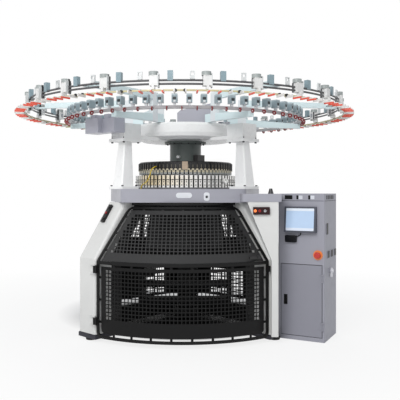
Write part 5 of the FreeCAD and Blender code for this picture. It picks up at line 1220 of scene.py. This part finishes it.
class MACHINE_OT_cabinet_trim(bpy.types.Operator):
    """Door seal and handle, seam under the cabinet's top band, sockets on its front and side"""
    bl_idname = "machine.cabinet_trim"
    bl_label = "Cabinet trim"

    def execute(self, context):
        black = plastic("trim_black", (0.030, 0.030, 0.034), 0.4, sheen=0.2)
        pale = plastic("trim_pale", (0.84, 0.85, 0.88), 0.4)
        seal = rubber("seal_rubber", (0.10, 0.10, 0.11))
        self.door(black, seal)
        self.seam(seal)
        self.sockets(black, pale)
        return {"FINISHED"}

    def door(self, black, seal):
        """Seal lip round the door's edge, and the black tray with its lever in the handle's cup."""
        lip = 0.0015
        left, right, low, high = DOOR[0] + lip, DOOR[1] - lip, DOOR[2] + lip, DOOR[3] - lip
        corners = [cabinet_place(across, 0, height)
                   for across, height in ((left, low), (right, low), (right, high), (left, high))]
        points, faces = ribbon(corners, CABINET_IN, -lip, lip, -0.0006, 0.002)
        mesh_piece("door_seal", points, faces, seal, "door")
        tray = (cabinet_place(0.0645, 0.0115, 0.335), 0.0336, 0.0856, 0.0090, 0.004, 5)
        lever = (cabinet_place(0.0645, 0.0026, 0.339), 0.016, 0.056, 0.0032, 0.006, 5)
        points, faces = plates(CABINET_RIGHT, -CABINET_IN, [tray, lever])
        mesh_piece("door_handle", points, faces, black, "door")

    def seam(self, seal):
        """Thin dark strip round the cabinet's front and sides under its top band."""
        wide, deep, edge = CABINET_WIDE, CABINET_DEEP, CABINET_EDGE
        places = [(edge, 0), (wide - edge, 0), (wide, edge), (wide, deep - edge), (wide - edge, deep),
                  (edge, deep), (0, deep - edge), (0, edge)]
        path = [cabinet_place(across, inward, 1.171) for across, inward in places]
        points, faces = ribbon(path, UP, -0.002, 0.0006, -0.0016, 0.0016)
        mesh_piece("cabinet_seam", points, faces, seal, "machine")

    def sockets(self, black, pale):
        """Rounded plates over the slots of the top band and on the right side."""
        lift, corner, steps = 0.0005, 0.003, 4
        front = [(cabinet_place(across, lift, BAND_MIDDLE), wide, 0.034, 0.0025, corner, steps)
                 for across, wide in ((0.091, 0.068), (0.169, 0.018), (0.271, 0.018))]
        side = [(cabinet_place(CABINET_WIDE + stand, inward, height), wide, tall, 0.0022, corner, steps)
                for inward, height, wide, tall, stand in (
                    (0.074, 0.9375, 0.047, 0.094, 0.0039), (0.112, 0.721, 0.055, 0.057, 0.0049),
                    (0.222, 0.721, 0.055, 0.057, 0.0049), (0.332, 0.721, 0.055, 0.057, 0.0049))]
        side += [(cabinet_place(CABINET_WIDE - lift, inward, BAND_MIDDLE), 0.028, 0.034, 0.0025, corner,
                  steps) for inward in (0.072, 0.122, 0.172, 0.222, 0.272)]
        points, faces = joined([plates(CABINET_RIGHT, -CABINET_IN, front),
                                plates(CABINET_IN, CABINET_RIGHT, side)])
        mesh_piece("cabinet_sockets", points, faces, black, "machine")
        bare = [(cabinet_place(across, lift, BAND_MIDDLE), 0.034, 0.030, 0.0018, corner, steps)
                for across in (0.196, 0.298)]
        points, faces = plates(CABINET_RIGHT, -CABINET_IN, bare)
        mesh_piece("cabinet_bare_plates", points, faces, pale, "machine")


class MACHINE_PT_pieces(bpy.types.Panel):
    """Lists every piece of the machine with its settings"""
    bl_label = "Knitting Machine"
    bl_idname = "MACHINE_PT_pieces"
    bl_space_type = "VIEW_3D"
    bl_region_type = "UI"
    bl_category = "Knitting Machine"

    def draw(self, context):
        for operator in OPERATORS:
            self.layout.operator(operator.bl_idname)
        for name in SETTINGS:
            settings = getattr(context.scene, name)
            frame_box = self.layout.box()
            frame_box.label(text=SETTINGS[name].__doc__)
            for setting in SETTINGS[name].__annotations__:
                frame_box.prop(settings, setting)


SETTINGS = {"machine_enamel": EnamelSettings, "machine_ring": RingSettings, "machine_sheets": SheetSettings,
            "machine_head": HeadSettings, "machine_stage": StageSettings}
OPERATORS = (MACHINE_OT_stage, MACHINE_OT_oil_hose, MACHINE_OT_enamels, MACHINE_OT_hardware,
             MACHINE_OT_feeder_rings, MACHINE_OT_knitting_head, MACHINE_OT_gate_sheets, MACHINE_OT_guards,
             MACHINE_OT_hood, MACHINE_OT_needles, MACHINE_OT_screen, MACHINE_OT_plates,
             MACHINE_OT_cabinet_trim)


def register():
    for name, group in SETTINGS.items():
        bpy.utils.register_class(group)
        setattr(bpy.types.Scene, name, bpy.props.PointerProperty(type=group))
    for operator in OPERATORS:
        bpy.utils.register_class(operator)
    bpy.utils.register_class(MACHINE_PT_pieces)


def unregister():
    bpy.utils.unregister_class(MACHINE_PT_pieces)
    for operator in reversed(OPERATORS):
        bpy.utils.unregister_class(operator)
    for name, group in SETTINGS.items():
        delattr(bpy.types.Scene, name)
        bpy.utils.unregister_class(group)


def main():
    register()
    for operator in OPERATORS:
        group, name = operator.bl_idname.split(".")
        getattr(getattr(bpy.ops, group), name)()


if __name__ == "__main__":
    main()
